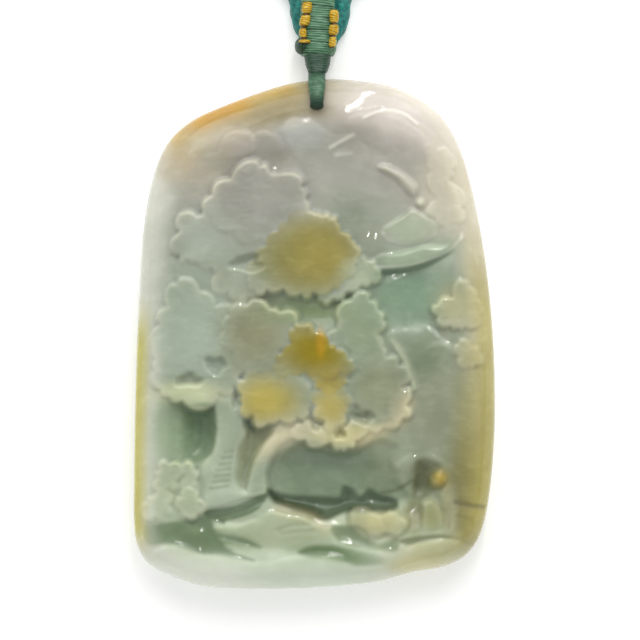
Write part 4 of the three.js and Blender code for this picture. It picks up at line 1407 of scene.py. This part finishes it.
@dataclass
class JadePlaque:
    """The carved stone: a grid over the outline, raised by the carving and closed by the rounded back."""

    carving: Carving
    columns: int = 236
    rows: int = 326
    half_width: float = 23.0
    half_height: float = 32.5
    edge_rings: int = 8
    outline_steps: int = 2400
    corners: Points = ((-21.6, -28.8), (20.4, -26.9), (16.3, 27.5), (-18.6, 24.5))
    back_steps: int = 8
    hole_diameter: float = 1.6
    hole_face: tuple[float, float, float] = (0.3, 29.25, 9.0)
    hole_back: tuple[float, float, float] = (0.3, 30.6, 0.0)
    hole_sides: int = 48
    polish_reach: int = 14
    edge_light_tint: float = 0.8
    depth_shade_tint: float = 0.35
    crest_light_tint: float = 0.14
    rim_light_tint: float = 0.18
    left_tint: float = 0.95
    right_tint: float = 0.85
    back_tint: float = 0.75

    def graded(self, count: int, half: float) -> Array:
        """Places across the plaque from -1 to 1, closer together towards the edges.

        Args:
            count: Number of faces across.
            half: Half the plaque's size that way.

        Returns:
            The places, one more than the faces.
        """
        ring = self.edge_rings
        inner = count - 2 * ring
        step = 2 * half / (inner + ring)
        edge = step * np.arange(ring) ** 2 / (2 * ring)
        low = np.concatenate([edge, np.linspace(step * ring / 2, 2 * half - step * ring / 2, inner + 1)])
        return np.concatenate([low, (2 * half - edge)[::-1]]) / half - 1

    def edge_points(self, u: Array, v: Array) -> Array:
        """Points of the outline that answer to places on the edge of a square.

        Args:
            u: Places across, with either u or v at -1 or 1.
            v: Places along.

        Returns:
            The outline's points.
        """
        outline = even_ring(PLAQUE_OUTLINE, self.outline_steps)
        if runs_clockwise(outline):
            outline = outline[::-1]
        count = len(outline)
        stops = [int(np.argmin(np.hypot(*(outline - corner).T))) for corner in np.asarray(self.corners)]
        near = 1 - 1e-9
        sides = ((v <= -near, u), (u >= near, v), (v >= near, -u), (u <= -near, -v))
        found = np.zeros((len(u), 2))
        for side, (mask, way) in enumerate(sides):
            start, end = stops[side], stops[(side + 1) % 4]
            place = start + (way[mask] + 1) / 2 * ((end - start) % count)
            low = np.floor(place).astype(int)
            part = (place - low)[:, None]
            found[mask] = outline[low % count] * (1 - part) + outline[(low + 1) % count] * part
        return found

    def front_places(self, column: Array, row: Array) -> tuple[Array, Array]:
        """Where each vertex of the grid lies on the plaque's face.

        Args:
            column: Vertices' columns.
            row: Vertices' rows.

        Returns:
            Their X and Y, in millimetres.
        """
        u = self.graded(self.columns, self.half_width)[column]
        v = self.graded(self.rows, self.half_height)[row]
        reach = np.maximum(np.maximum(np.abs(u), np.abs(v)), 1e-9)
        edge = self.edge_points(np.clip(u / reach, -1, 1), np.clip(v / reach, -1, 1)) * reach[:, None]
        share = reach ** 2
        x = (1 - share) * u * self.half_width + share * edge[:, 0]
        y = (1 - share) * v * self.half_height + share * edge[:, 1]
        return x, y

    def polished(self, z: Array, column: Array, row: Array) -> tuple[Array, Array]:
        """Soften the carving as polishing does.

        Args:
            z: Heights of the vertices.
            column: Their columns.
            row: Their rows.

        Returns:
            The softened heights, and how far each point stands above its neighbourhood.
        """
        sheet = np.zeros((self.rows + 1, self.columns + 1))
        sheet[row, column] = z
        soft = self.averaged(sheet)
        wide = sheet
        for _ in range(self.polish_reach):
            wide = self.averaged(wide)
        return soft[row, column], (soft - wide)[row, column]

    def averaged(self, sheet: Array) -> Array:
        """Average each height with its neighbours, and keep the outer rings.

        Args:
            sheet: Heights by row and column.

        Returns:
            The new heights.
        """
        padded = np.pad(sheet, 1, mode="edge")
        across = (padded[:, :-2] + 2 * padded[:, 1:-1] + padded[:, 2:]) / 4
        mean = (across[:-2] + 2 * across[1:-1] + across[2:]) / 4
        kept = sheet.copy()
        ring = self.edge_rings
        kept[ring:-ring, ring:-ring] = mean[ring:-ring, ring:-ring]
        return kept

    def colour_with_painted_light(self, x: Array, y: Array, front: CarvedFront, proud: Array) -> Array:
        """The stone's colour at each point: its stains, with painted light and shade mixed in.

        Args:
            x: Points' X.
            y: Points' Y.
            front: The carving at the points.
            proud: How far they stand above their neighbourhood.

        Returns:
            Linear colours.
        """
        inset = front.inset
        depth = self.carving.section.front_height(inset) - front.z
        heights = [height for height, _ in reversed(UPRIGHT_TONES)]
        colour = np.stack([np.interp(y, heights, [shade[i] for _, shade in reversed(UPRIGHT_TONES)])
                           for i in range(3)], axis=1)
        # Painted light: the stone grows paler towards its edge
        edge = self.edge_light_tint * (1 - ramp(inset, 0.5, 5.0))
        colour = self.tinted(colour, edge * ramp(-x, 4, 16), PAINTED_EDGE_LIGHT_LEFT)
        colour = self.tinted(colour, edge * ramp(x, 4, 16), PAINTED_EDGE_LIGHT_RIGHT)
        # Stains of the stone, and a few patches of painted shade and painted light
        for stain_and_painted_light in STAINS_AND_PAINTED_LIGHT:
            across = (x - stain_and_painted_light.x) * math.cos(stain_and_painted_light.turn) + (y - stain_and_painted_light.y) * math.sin(stain_and_painted_light.turn)
            along = (y - stain_and_painted_light.y) * math.cos(stain_and_painted_light.turn) - (x - stain_and_painted_light.x) * math.sin(stain_and_painted_light.turn)
            reach = (across / stain_and_painted_light.reach[0]) ** 2 + (along / stain_and_painted_light.reach[1]) ** 2
            share = stain_and_painted_light.strength * np.exp(-reach ** 1.5)
            if stain_and_painted_light.within:
                inside = front.pads.get(stain_and_painted_light.within, OUTSIDE)
                share = share * ramp(inside, -0.1, 0.2)
            colour = self.tinted(colour, share, stain_and_painted_light.colour)
        # Painted shade in the recesses
        for recess in RECESSES.values():
            share = self.carving.recessed(x, y, recess, -recess.soft, recess.soft)
            colour = self.tinted(colour, recess.strength * share, recess.colour)
        # Painted shade: deeper green where the carving is deepest
        colour = self.tinted(colour, self.depth_shade_tint * ramp(depth, 1.6, 3.6), RECESS_GREEN)
        # Painted light: points that stand above their neighbourhood are made paler
        colour = self.tinted(colour, self.crest_light_tint * ramp(proud, 0.1, 0.6), CREAM)
        # Painted light: the leaves' outer edges are paler, for light through their thin edges
        colour = self.tinted(colour, self.rim_light_tint * front.rim, RIM_PALE)
        left = (1 - ramp(inset, 0.2, 2.4)) * ramp(-x, 8, 16) * ramp(-y, -6, 2) * ramp(y, -29, -24)
        colour = self.tinted(colour, self.left_tint * left, LEFT_RIM_YELLOW)
        right = (1 - ramp(inset, 0.6, 4.2)) * ramp(x, 8, 16) * ramp(-y, -18, -2) * ramp(y, -29, -23)
        colour = self.tinted(colour, self.right_tint * right, RIGHT_RIM_YELLOW)
        # Painted shade in the bark's cut ticks
        bark = tuple(ColourLine(tick.line, 0.2, BARK_SHADE, 0.3) for tick in BARK_TICKS)
        # Ochre skin, painted shade and painted highlights drawn along lines
        for colour_line in SEAMS_AND_PAINTED_LIGHT + bark:
            reach = distance_to_line(x, y, smooth_curve(colour_line.line, closed=False)) / colour_line.width
            colour = self.tinted(colour, colour_line.strength * np.exp(-reach ** 2), colour_line.colour)
        return colour

    def tinted(self, colour: Array, share: Array, tint: Colour) -> Array:
        """The points' linear colours with a share of a tint mixed in."""
        return colour * (1 - share[:, None]) + np.array(tint) * share[:, None]

    def paint(self, piece: bpy.types.Object, colour: Array) -> None:
        """Write the stone's colour on the mesh.

        Args:
            piece: The plaque.
            colour: Linear colours of its vertices.
        """
        layers = piece.data.attributes
        layer = layers.get("stain_and_painted_light") or layers.new("stain_and_painted_light", "FLOAT_COLOR", "POINT")
        whole = np.concatenate([colour, np.ones((len(colour), 1))], axis=1)
        layer.data.foreach_set("color", whole.astype(np.float32).ravel())

    def close_back(self, piece: bpy.types.Object) -> None:
        """Extrude the outline ring by ring into the rounded edge of the back, and fill its flat.

        Args:
            piece: The carved front.
        """
        section = self.carving.section
        turns = np.linspace(0, math.pi / 2, self.back_steps + 1)
        insets = section.back_round * (1 - np.cos(turns))
        bpy.ops.object.mode_set(mode="EDIT")
        bpy.ops.mesh.select_mode(type="EDGE")
        bpy.ops.mesh.select_all(action="SELECT")
        bpy.ops.mesh.region_to_loop()
        for before, inset in zip(insets, insets[1:]):
            bpy.ops.mesh.extrude_edges_move()
            bpy.ops.object.mode_set(mode="OBJECT")
            chosen = np.empty(len(piece.data.vertices), dtype=bool)
            piece.data.vertices.foreach_get("select", chosen)
            places = vertex_places(piece)
            flat = places[chosen, :2]
            half = section.spine_half * MM
            spine = np.stack([np.zeros(len(flat)), np.clip(flat[:, 1], -half, half)], axis=1)
            places[chosen, :2] = flat + unit(spine - flat) * (inset - before) * MM
            places[chosen, 2] = section.back_height(np.array([inset]))[0] * MM
            place_vertices(piece, places)
            bpy.ops.object.mode_set(mode="EDIT")
        bpy.ops.mesh.edge_face_add()
        bpy.ops.mesh.select_all(action="SELECT")
        bpy.ops.mesh.normals_make_consistent(inside=False)
        bpy.ops.object.mode_set(mode="OBJECT")

    def bore(self, piece: bpy.types.Object) -> None:
        """Bore the slanting hole for the loop.

        Args:
            piece: The closed plaque.
        """
        face, back = Vector(self.hole_face) * MM, Vector(self.hole_back) * MM
        along = face - back
        deselect_all()
        bpy.ops.mesh.primitive_cylinder_add(
            vertices=self.hole_sides, radius=self.hole_diameter / 2 * MM, depth=2 * along.length,
            location=(face + back) / 2, rotation=along.to_track_quat("Z", "Y").to_euler())
        drill = bpy.context.active_object
        deselect_all()
        piece.select_set(True)
        bpy.context.view_layer.objects.active = piece
        cut = piece.modifiers.new("hole", "BOOLEAN")
        cut.operation = "DIFFERENCE"
        cut.solver = "MANIFOLD"
        cut.object = drill
        bpy.ops.object.modifier_apply(modifier=cut.name)
        bpy.data.objects.remove(drill, do_unlink=True)

    def build(self, finish: JadeFinish) -> bpy.types.Object:
        """Carve and dress the plaque.

        Args:
            finish: The stone's finish.

        Returns:
            The plaque.
        """
        piece, column, row = flat_grid("carved_plaque", self.columns, self.rows)
        x, y = self.front_places(column, row)
        front = self.carving.front(x, y)
        front.z, proud = self.polished(front.z, column, row)
        edge = (column == 0) | (row == 0) | (column == self.columns) | (row == self.rows)
        front.z[edge] = self.carving.section.edge_z
        front.inset[edge] = 0
        place_vertices(piece, np.stack([x, y, front.z], axis=1) * MM)
        self.paint(piece, self.colour_with_painted_light(x, y, front, proud))
        self.close_back(piece)
        self.bore(piece)
        self.mend_colours(piece)
        deselect_all()
        piece.select_set(True)
        bpy.context.view_layer.objects.active = piece
        bpy.ops.object.shade_smooth_by_angle(angle=math.radians(60))
        return dress(piece, finish.material(), ["jade_plaque"])

    def mend_colours(self, piece: bpy.types.Object) -> None:
        """Colour the back and the walls of the hole like the stone beside them.

        Args:
            piece: The bored plaque.
        """
        places = vertex_places(piece) / MM
        layer = piece.data.attributes["stain_and_painted_light"]
        colours = np.empty(len(places) * 4, dtype=np.float32)
        layer.data.foreach_get("color", colours)
        colours = colours.reshape(-1, 4)[:, :3].astype(float)
        hidden = (places[:, 2] < self.carving.section.edge_z - 1e-3) | (colours.sum(axis=1) < 1e-3)
        x, y = places[hidden, 0], places[hidden, 1]
        inset = self.carving.inset(x, y)
        plain = np.zeros(x.shape)
        back = CarvedFront(self.carving.section.front_height(inset), inset, plain, {})
        fade = self.back_tint * ramp(self.carving.section.edge_z - places[hidden, 2], 0.2, 3.2)
        colours[hidden] = self.tinted(self.colour_with_painted_light(x, y, back, plain), fade, BACK_PALE)
        self.paint(piece, colours)


# Loop, knot and threads

def ridges(run: Array, pitch: float) -> Array:
    """Turns of thread laid side by side at a pitch along a run, 0 in the grooves and 1 on the crowns."""
    return np.sqrt(np.abs(np.sin(np.pi * run / pitch)))


@dataclass
class HangingLoop:
    """The thread-wound loop through the hole, around the plaque's top bar. Millimetres."""

    path: Points = (
        (33.25, 4.1), (33, 5.3), (32.35, 6.6), (31.1, 7.7), (30, 8.3), (29.1, 8.15), (28.95, 7),
        (29.4, 5), (29.95, 2.9), (30.3, 1.5), (31, 0.75), (32, 1.05), (32.85, 2.1), (33.2, 3.1))
    x: float = 0.3
    width: float = 2.2
    tip_width: float = 1.7
    thickness: float = 1.1
    pitch: float = 0.27
    relief: float = 0.035
    slant: float = 0.35
    shade: float = 0.46
    end_shade: float = 0.5
    steps: int = 460
    sides: int = 28

    def build(self, finish: ThreadFinish) -> bpy.types.Object:
        """Wind and dress the loop.

        Args:
            finish: The thread's finish.

        Returns:
            The loop.
        """
        line = even_ring(self.path, self.steps)
        turns = round(run_length(line, True) / self.pitch)
        line, way = (np.vstack([part, part[:1]]) for part in (line, ring_ways(line)))
        angle = np.linspace(0, 2 * np.pi, self.sides + 1)[None, :]
        run = (np.arange(self.steps + 1) / self.steps * turns)[:, None]
        crown = ridges(run + self.slant * np.cos(angle), 1.0)
        width = self.tip_width + (self.width - self.tip_width) * ramp(line[:, :1], 29.2, 32.2)
        across = (width / 2 - self.relief * (1 - crown)) * np.cos(angle)
        out = (self.thickness / 2 - self.relief * (1 - crown)) * np.sin(angle)
        rings = np.stack([
            self.x + across, line[:, :1] - out * way[:, 1:], line[:, 1:] + out * way[:, :1]], axis=2)
        # The tip, going down into the hole, is darkened with painted shade; the neck is darkened towards
        # the knot
        tip, neck = 1 - ramp(line[:, :1], 29.2, 30.6), ramp(line[:, :1], 32.0, 33.0)
        shade = np.broadcast_to(self.shade + self.end_shade * (tip + neck), crown.shape)
        piece = rolled_tube("wound_loop", rings * MM, crown, shade, closed=True)
        return dress(piece, finish.material(), ["hanging_loop"])


@dataclass
class BoundKnot:
    """The bound knot: a tapered wrap above the loop and a broad one over the two cords. Millimetres."""

    x: float = 0.4
    sides: int = 64
    pitch: float = 0.31
    relief: float = 0.09
    group: float = 1.55
    step: float = 0.05
    taper: Points = (
        (33.1, 1.6, 3.2, 5.6), (33.35, 2.5, 2.6, 6.0), (34.3, 3.15, 1.6, 5.6), (35.4, 3.45, 0.9, 5.2),
        (35.7, 3.3, 0.9, 5.0), (35.9, 2.0, 1.6, 4.2))
    wrap: Points = (
        (35.3, 2.6, 0.9, 4.2), (35.5, 4.2, 0.4, 4.8), (36.2, 4.8, 0.1, 5.0), (37, 4.9, 0.1, 5.0),
        (38, 4.9, 0.1, 5.0), (38.3, 4.6, 2.6, 5.0), (40.4, 4.5, 2.7, 5.0), (42.2, 4.4, 2.7, 4.9),
        (43.2, 4.2, 2.8, 4.8), (43.5, 2.2, 3.2, 4.4))
    bulge_middle: tuple[float, float, float] = (-1.35, 36.75, 2.7)
    bulge_reach: tuple[float, float, float] = (1.2, 1.15, 2.25)
    bulge_fullness: float = 2.6
    bulge_steps: int = 61
    bulge_shade: float = 0.8
    squareness: float = 0.7
    group_cut: float = 1.4
    end_round: float = 0.3

    def wound(self, name: str, sections: Points, slant: float, grouped: bool,
              dark: float) -> bpy.types.Object:
        """One wrap of thread.

        Args:
            name: Name of the piece.
            sections: Place, width, underside and top along the wrap.
            slant: How far a turn climbs from side to side.
            grouped: Whether the turns lie in groups with deeper grooves between them.
            dark: Share of the deep dye.

        Returns:
            The wrap.
        """
        table = np.asarray(sections)
        y = np.arange(table[0, 0], table[-1, 0] + self.step, self.step)[:, None]
        y = np.minimum(y, table[-1, 0])
        half, low, high = (np.interp(y[:, 0], table[:, 0], table[:, i])[:, None] for i in (1, 2, 3))
        half = half / 2
        angle = np.linspace(0, 2 * np.pi, self.sides + 1)[None, :]
        across, up = (squared_off(value, self.squareness) for value in (np.cos(angle), np.sin(angle)))
        run = y + slant * across + 0.05 * np.sin(3 * y + 2 * angle)
        crown = ridges(run, self.pitch)
        cut = self.relief * (1 - crown)
        if grouped:
            crown = crown * ramp(np.abs(np.sin(np.pi * run / self.group)), 0.05, 0.35)
            cut = self.relief * (1 - crown) * self.group_cut
        end = np.minimum(1, np.minimum(y - table[0, 0], table[-1, 0] - y) / self.end_round)
        cut = cut * np.maximum(end, 0)
        rings = np.stack(np.broadcast_arrays(
            self.x + (half - cut) * across, y, (low + high) / 2 + ((high - low) / 2 - cut) * up), axis=2)
        return rolled_tube(name, rings * MM, crown, np.full(crown.shape, dark))

    def bulge(self) -> bpy.types.Object:
        """The turned-in end of the winding at the knot's lower left.

        Returns:
            The bulge.
        """
        middle, reach = self.bulge_middle, self.bulge_reach
        share = np.linspace(-1, 1, self.bulge_steps)[:, None]
        girth = np.maximum(1 - np.abs(share) ** self.bulge_fullness, 0.0004) ** 0.5
        angle = np.linspace(0, 2 * np.pi, self.sides + 1)[None, :]
        crown = ridges(share * reach[0] + 0.2 * np.sin(angle), self.pitch)
        girth = girth - 0.05 * (1 - crown) * girth
        rings = np.stack(np.broadcast_arrays(
            middle[0] + reach[0] * share, middle[1] + reach[1] * girth * np.cos(angle),
            middle[2] + reach[2] * girth * np.sin(angle)), axis=2)
        return rolled_tube("knot_bulge", rings * MM, crown, np.full(crown.shape, self.bulge_shade))

    def build(self, finish: ThreadFinish) -> list[bpy.types.Object]:
        """Wind and dress the knot's wraps.

        Args:
            finish: The thread's finish.

        Returns:
            The wraps.
        """
        taper = self.wound("knot_taper", self.taper, slant=0.12, grouped=False, dark=0.86)
        wrap = self.wound("knot_wrap", self.wrap, slant=0.16, grouped=True, dark=0.0)
        pieces = [taper, wrap, self.bulge()]
        material = finish.material()
        return [dress(piece, material, ["bound_knot"]) for piece in pieces]


class Side(Enum):
    """Sides of the knot, with the CAD node of each side's gold thread."""

    LEFT = "gold_thread_left"
    RIGHT = "gold_thread_right"


@dataclass
class GoldColumn:
    """Gold thread wound in blocks down one side of the knot. Millimetres."""

    side: Side
    line: Points
    blocks: Points
    pitch: float = 0.3
    relief: float = 0.09
    depth: float = 0.62
    lift: float = 5.0
    neck: float = 0.66
    fullness: float = 0.16
    sides: int = 32
    step: float = 0.05

    def build(self, finish: ThreadFinish) -> bpy.types.Object:
        """Wind and dress the column.

        Args:
            finish: The thread's finish.

        Returns:
            The column.
        """
        path = smooth_curve(self.line, closed=False)
        order = np.argsort(path[:, 1])
        low, high = self.blocks[0][0], self.blocks[-1][1]
        y = np.arange(low, high + self.step / 2, self.step)[:, None]
        middle = np.interp(y, path[order, 1], path[order, 0])
        swell = np.full(y.shape, self.neck)
        width = np.full(y.shape, 1.0)
        for start, end, wide in self.blocks:
            share = np.clip((y - start) / (end - start), 0, 1)
            bulge = np.clip(4 * share * (1 - share), 0, 1) ** self.fullness
            swell = np.maximum(swell, bulge)
            width = np.where((y >= start) & (y <= end), wide, width)
        angle = np.linspace(0, 2 * np.pi, self.sides + 1)[None, :]
        crown = ridges(y + 0.1 * np.cos(angle) + 0.07 * np.sin(5.3 * y + angle), self.pitch)
        cut = self.relief * (1 - crown)
        rings = np.stack(np.broadcast_arrays(
            middle + (width / 2 * swell - cut) * np.cos(angle), y,
            self.lift + (self.depth * swell - cut) * np.sin(angle)), axis=2)
        # Painted shade: the thread darkens in the narrow gaps between the blocks
        shade = np.broadcast_to(1 - ramp(swell, 0.67, 0.85), crown.shape)
        piece = rolled_tube(self.side.value.replace("thread", "winding"), rings * MM, crown, shade)
        return dress(piece, finish.material(), [self.side.value])


LEFT_GOLD = GoldColumn(
    Side.LEFT, line=((-1.2, 37.0), (-1.5, 38.4), (-1.2, 39.9), (-0.95, 41.5), (-0.9, 42.4)),
    blocks=((37.0, 37.45, 1.5), (37.7, 38.9, 1.0), (39.2, 40.6, 1.4), (40.75, 42.3, 1.35)))
RIGHT_GOLD = GoldColumn(
    Side.RIGHT, line=((2.25, 36.4), (2.3, 37.2), (2.45, 38.7), (2.5, 40.5), (2.45, 41.4)),
    blocks=((36.45, 37.85, 1.0), (38.0, 39.4, 1.3), (39.55, 41.3, 1.25)))


@dataclass
class NecklaceCord:
    """The braided necklace cord, from the knot round its stored coil and back. Metres."""

    diameter: float = 0.0024
    length: float = 0.585
    left_lead: Points = (
        (-0.00105, 0.0385), (-0.0014, 0.0391), (-0.0017, 0.03985), (-0.00192, 0.0409),
        (-0.00204, 0.042), (-0.0023, 0.0432), (-0.00305, 0.0444))
    right_lead: Points = (
        (0.0017, 0.0375), (0.0023, 0.0383), (0.0027, 0.0389), (0.00305, 0.0396), (0.0033, 0.04045),
        (0.00343, 0.0414), (0.00352, 0.0425), (0.00382, 0.0436), (0.0045, 0.0448))
    coil_middle: tuple[float, float] = (0.00075, 0.0635)
    coil_outer: float = 0.017
    coil_inner: float = 0.009
    enter_angle: float = math.radians(223)
    leave_angle: float = math.radians(-43)
    layer_turns: int = 3
    turn_points: int = 24
    climb_turns: float = 0.5
    strands: int = 6
    strand_pitch: float = 0.0019
    strand_relief: float = 0.00016
    sides: int = 24
    ring_step: float = 0.00027

    def spiral(self, start: float, turns: float, radii: tuple[float, float],
               heights: tuple[float, float]) -> Points:
        """One layer of the coil, clockwise seen from above.

        Args:
            start: Angle that it starts at.
            turns: Number of turns.
            radii: First and last radius.
            heights: First and last height, changed over the layer's first part.

        Returns:
            Points of the layer.
        """
        count = round(turns * self.turn_points)
        points = []
        for index in range(count + 1):
            share = index / count
            angle = start - 2 * math.pi * turns * share
            radius = radii[0] + (radii[1] - radii[0]) * share
            climb = min(1.0, share * turns / self.climb_turns)
            height = heights[0] + (heights[1] - heights[0]) * climb * climb * (3 - 2 * climb)
            points.append((self.coil_middle[0] + radius * math.cos(angle),
                           self.coil_middle[1] + radius * math.sin(angle), height))
        return tuple(points)

    def route(self) -> Array:
        """The cord's middle line from the knot's left side to its right side.

        Returns:
            Points along the line.
        """
        low, high = self.diameter / 2, 1.5 * self.diameter
        whole = self.layer_turns * 2 + (self.enter_angle - self.leave_angle) / (2 * math.pi)
        half = whole / 2
        inward = self.spiral(self.enter_angle, half, (self.coil_outer, self.coil_inner), (low, low))
        outward = self.spiral(self.enter_angle - 2 * math.pi * half, half,
                              (self.coil_inner, self.coil_outer), (low, high))
        left = tuple((x, y, low) for x, y in self.left_lead)
        right = tuple((x, y, low) for x, y in reversed(self.right_lead))
        settle = ((0.0102, 0.0492, high * 0.94), (0.0074, 0.0467, low * 1.6))
        return smooth_curve(left + inward + outward[1:] + settle + right, closed=False, per_span=8)

    def braid(self, angle: Array, run: Array) -> tuple[Array, Array]:
        """The braid's surface: which strand lies on top, and how far it swells there.

        Args:
            angle: Angle around the cord.
            run: Distance along the cord, in metres.

        Returns:
            The swell, 0 to 1, and the shade of the strands.
        """
        around = self.strands * angle / (2 * np.pi)
        along = run / self.strand_pitch
        first, second = around + along, around - along
        over = (np.floor(first) + np.floor(second)) % 2 == 0
        across = np.where(over, second % 1, first % 1)
        lengthwise = np.where(over, first % 1, second % 1)
        swell = np.sin(np.pi * across) ** 0.6 * (0.55 + 0.45 * np.sin(np.pi * lengthwise))
        return swell, np.where(over, 0.0, 0.22)

    def build(self, finish: ThreadFinish) -> tuple[bpy.types.Object, Array]:
        """Braid and dress the cord.

        Args:
            finish: The cord's finish.

        Returns:
            The cord and its middle line.
        """
        route = self.route()
        count = round(run_length(route, False) / self.ring_step)
        line = evenly(route, count, False)
        way = unit(np.gradient(line, axis=0))
        sideways = unit(np.cross(way, (0, 0, 1)))
        upward = np.cross(sideways, way)
        angle = np.linspace(0, 2 * np.pi, self.sides + 1)[None, :]
        run = (np.arange(count + 1) * run_length(route, False) / count)[:, None]
        swell, shade = self.braid(angle + np.zeros_like(run), run + np.zeros_like(angle))
        swell[:, -1] = swell[:, 0]
        shade[:, -1] = shade[:, 0]
        radius = self.diameter / 2 - self.strand_relief * (1 - swell)
        rings = (line[:, None, :] + (radius * np.cos(angle))[:, :, None] * sideways[:, None, :]
                 + (radius * np.sin(angle))[:, :, None] * upward[:, None, :])
        piece = rolled_tube("necklace_braid", rings, swell, shade)
        dress(piece, finish.material(),
              ["necklace_cord_left", "necklace_cord_right", "necklace_coil"])
        return piece, line


@dataclass
class CoilTie:
    """A wound thread band that holds the stored coil together. Millimetres."""

    middle: tuple[float, float] = (0.75, 63.5)
    inner: float = 7.6
    outer: float = 18.3
    low: float = 0.05
    high: float = 5.0
    width: float = 3.2
    thickness: float = 0.36
    squareness: float = 0.5
    shade: float = 0.1
    steps: int = 220
    sides: int = 12
    turns: int = 7

    def build(self, finish: ThreadFinish) -> bpy.types.Object:
        """Wind and dress the tie.

        Args:
            finish: The thread's finish.

        Returns:
            The tie.
        """
        angle = np.linspace(0, 2 * np.pi, self.steps + 1)
        reach, half = (self.outer - self.inner) / 2, (self.high - self.low) / 2
        out = self.middle[1] + (self.inner + self.outer) / 2
        along = out + reach * squared_off(np.cos(angle), self.squareness)
        height = (self.low + self.high) / 2 + half * squared_off(np.sin(angle), self.squareness)
        line = evenly(np.stack([along, height], axis=1)[:-1], self.steps, True)
        line, way = (np.vstack([part, part[:1]]) for part in (line, ring_ways(line)))
        count = self.turns * self.sides
        place = np.linspace(0, 2, count + 1)[None, :] % 2
        front = place <= 1
        across = np.where(front, place * 2 - 1, 3 - place * 2) * self.width / 2
        crown = ridges((across + self.width / 2) * self.turns / self.width, 1.0)
        out = np.where(front, 1.0, -1.0) * self.thickness / 2 * (0.35 + 0.65 * crown)
        line_y, line_z = line[:, :1], np.maximum(line[:, 1:], self.low + self.thickness / 2)
        rings = np.stack(np.broadcast_arrays(
            self.middle[0] + across + 0 * line_y, line_y + out * way[:, 1:],
            np.maximum(line_z - out * way[:, :1], 0.0)), axis=2)
        rings[:, -1] = rings[:, 0]
        crown = np.broadcast_to(crown, rings.shape[:2])
        piece = rolled_tube("coil_tie", rings * MM, crown, np.full(crown.shape, self.shade), closed=True)
        return dress(piece, finish.material(), [])


# Studio

@dataclass
class Studio:
    """The white table, the soft lights and the camera that looks straight down. Metres."""

    view_middle: tuple[float, float] = (0.0007, 0.00178)
    view_width: float = 0.08157
    view_level: float = 0.004
    distance: float = 0.62
    sensor: float = 36.0
    table: float = 1.6
    table_gap: float = 0.00002
    surroundings: float = 0.36

    def camera(self) -> bpy.types.Object:
        """Set the camera straight above the plaque.

        Returns:
            The camera.
        """
        data = bpy.data.cameras.new("camera")
        data.sensor_width = self.sensor
        data.lens = self.sensor * self.distance / self.view_width
        camera = bpy.data.objects.new("camera", data)
        camera.location = (*self.view_middle, self.view_level + self.distance)
        bpy.context.scene.collection.objects.link(camera)
        bpy.context.scene.camera = camera
        return camera

    def floor(self, finish: FloorFinish) -> bpy.types.Object:
        """The table that the plaque lies on.

        Args:
            finish: The table's finish.

        Returns:
            The table.
        """
        deselect_all()
        bpy.ops.mesh.primitive_plane_add(size=self.table, location=(0, 0, -self.table_gap))
        floor = bpy.context.active_object
        floor.name = "table"
        floor.data.materials.append(finish.material())
        return floor

    def light(self, name: str, place: tuple[float, float, float], size: tuple[float, float], watts: float,
              aim: tuple[float, float, float] = (0, 0, 0.004)) -> bpy.types.Object:
        """One soft light, turned towards the plaque.

        Args:
            name: Name of the light.
            place: Where it stands.
            size: Width and height of its panel.
            watts: Its power.
            aim: The point that it faces.

        Returns:
            The light.
        """
        data = bpy.data.lights.new(name, "AREA")
        data.shape = "RECTANGLE"
        data.size, data.size_y = size
        data.energy = watts
        light = bpy.data.objects.new(name, data)
        light.location = place
        light.rotation_euler = (Vector(aim) - Vector(place)).to_track_quat("-Z", "Y").to_euler()
        bpy.context.scene.collection.objects.link(light)
        return light

    def lights(self) -> None:
        """The soft lights and the pale surroundings."""
        self.light("top_softbox", (0.0, 0.5, 0.42), (0.8, 0.5), 2.9)
        self.light("left_softbox", (-0.5, 0.0, 0.4), (0.6, 0.6), 0.65)
        self.light("right_softbox", (0.5, 0.0, 0.4), (0.6, 0.6), 0.65)
        self.light("lower_softbox", (0.0, -0.5, 0.4), (0.6, 0.4), 0.45)
        self.light("strip", (0.05, 0.3, 0.245), (0.004, 0.5), 0.45, (0.006, 0.029, 0.006))
        world = bpy.data.worlds.new("studio")
        world.use_nodes = True
        background = world.node_tree.nodes["Background"]
        background.inputs["Color"].default_value = (1, 1, 1, 1)
        background.inputs["Strength"].default_value = self.surroundings
        bpy.context.scene.world = world
        bpy.context.scene.view_settings.view_transform = "Standard"


def main() -> None:
    """Build the studio and the pieces in order."""
    logging.basicConfig(level=logging.INFO, format="%(name)s: %(message)s")
    studio = Studio()
    studio.camera()
    studio.floor(FloorFinish())
    studio.lights()
    LOG.info("studio ready")

    cord_maker = NecklaceCord()
    cord, line = cord_maker.build(TEAL_BRAID)
    LOG.info("cord braided, %.0f mm", run_length(line, False) / MM)
    tie = CoilTie().build(GREEN_THREAD)
    loop = HangingLoop().build(GREEN_THREAD)
    wraps = BoundKnot().build(GREEN_THREAD)
    columns = [column.build(GOLD_THREAD) for column in (LEFT_GOLD, RIGHT_GOLD)]
    for piece in (tie, loop, *wraps, *columns):
        LOG.info("%s wound, %d faces", piece.name, len(piece.data.polygons))

    plaque = JadePlaque(Carving(PlaqueSection())).build(JadeFinish())
    LOG.info("plaque carved, %d faces", len(plaque.data.polygons))


if __name__ == "__main__":
    main()
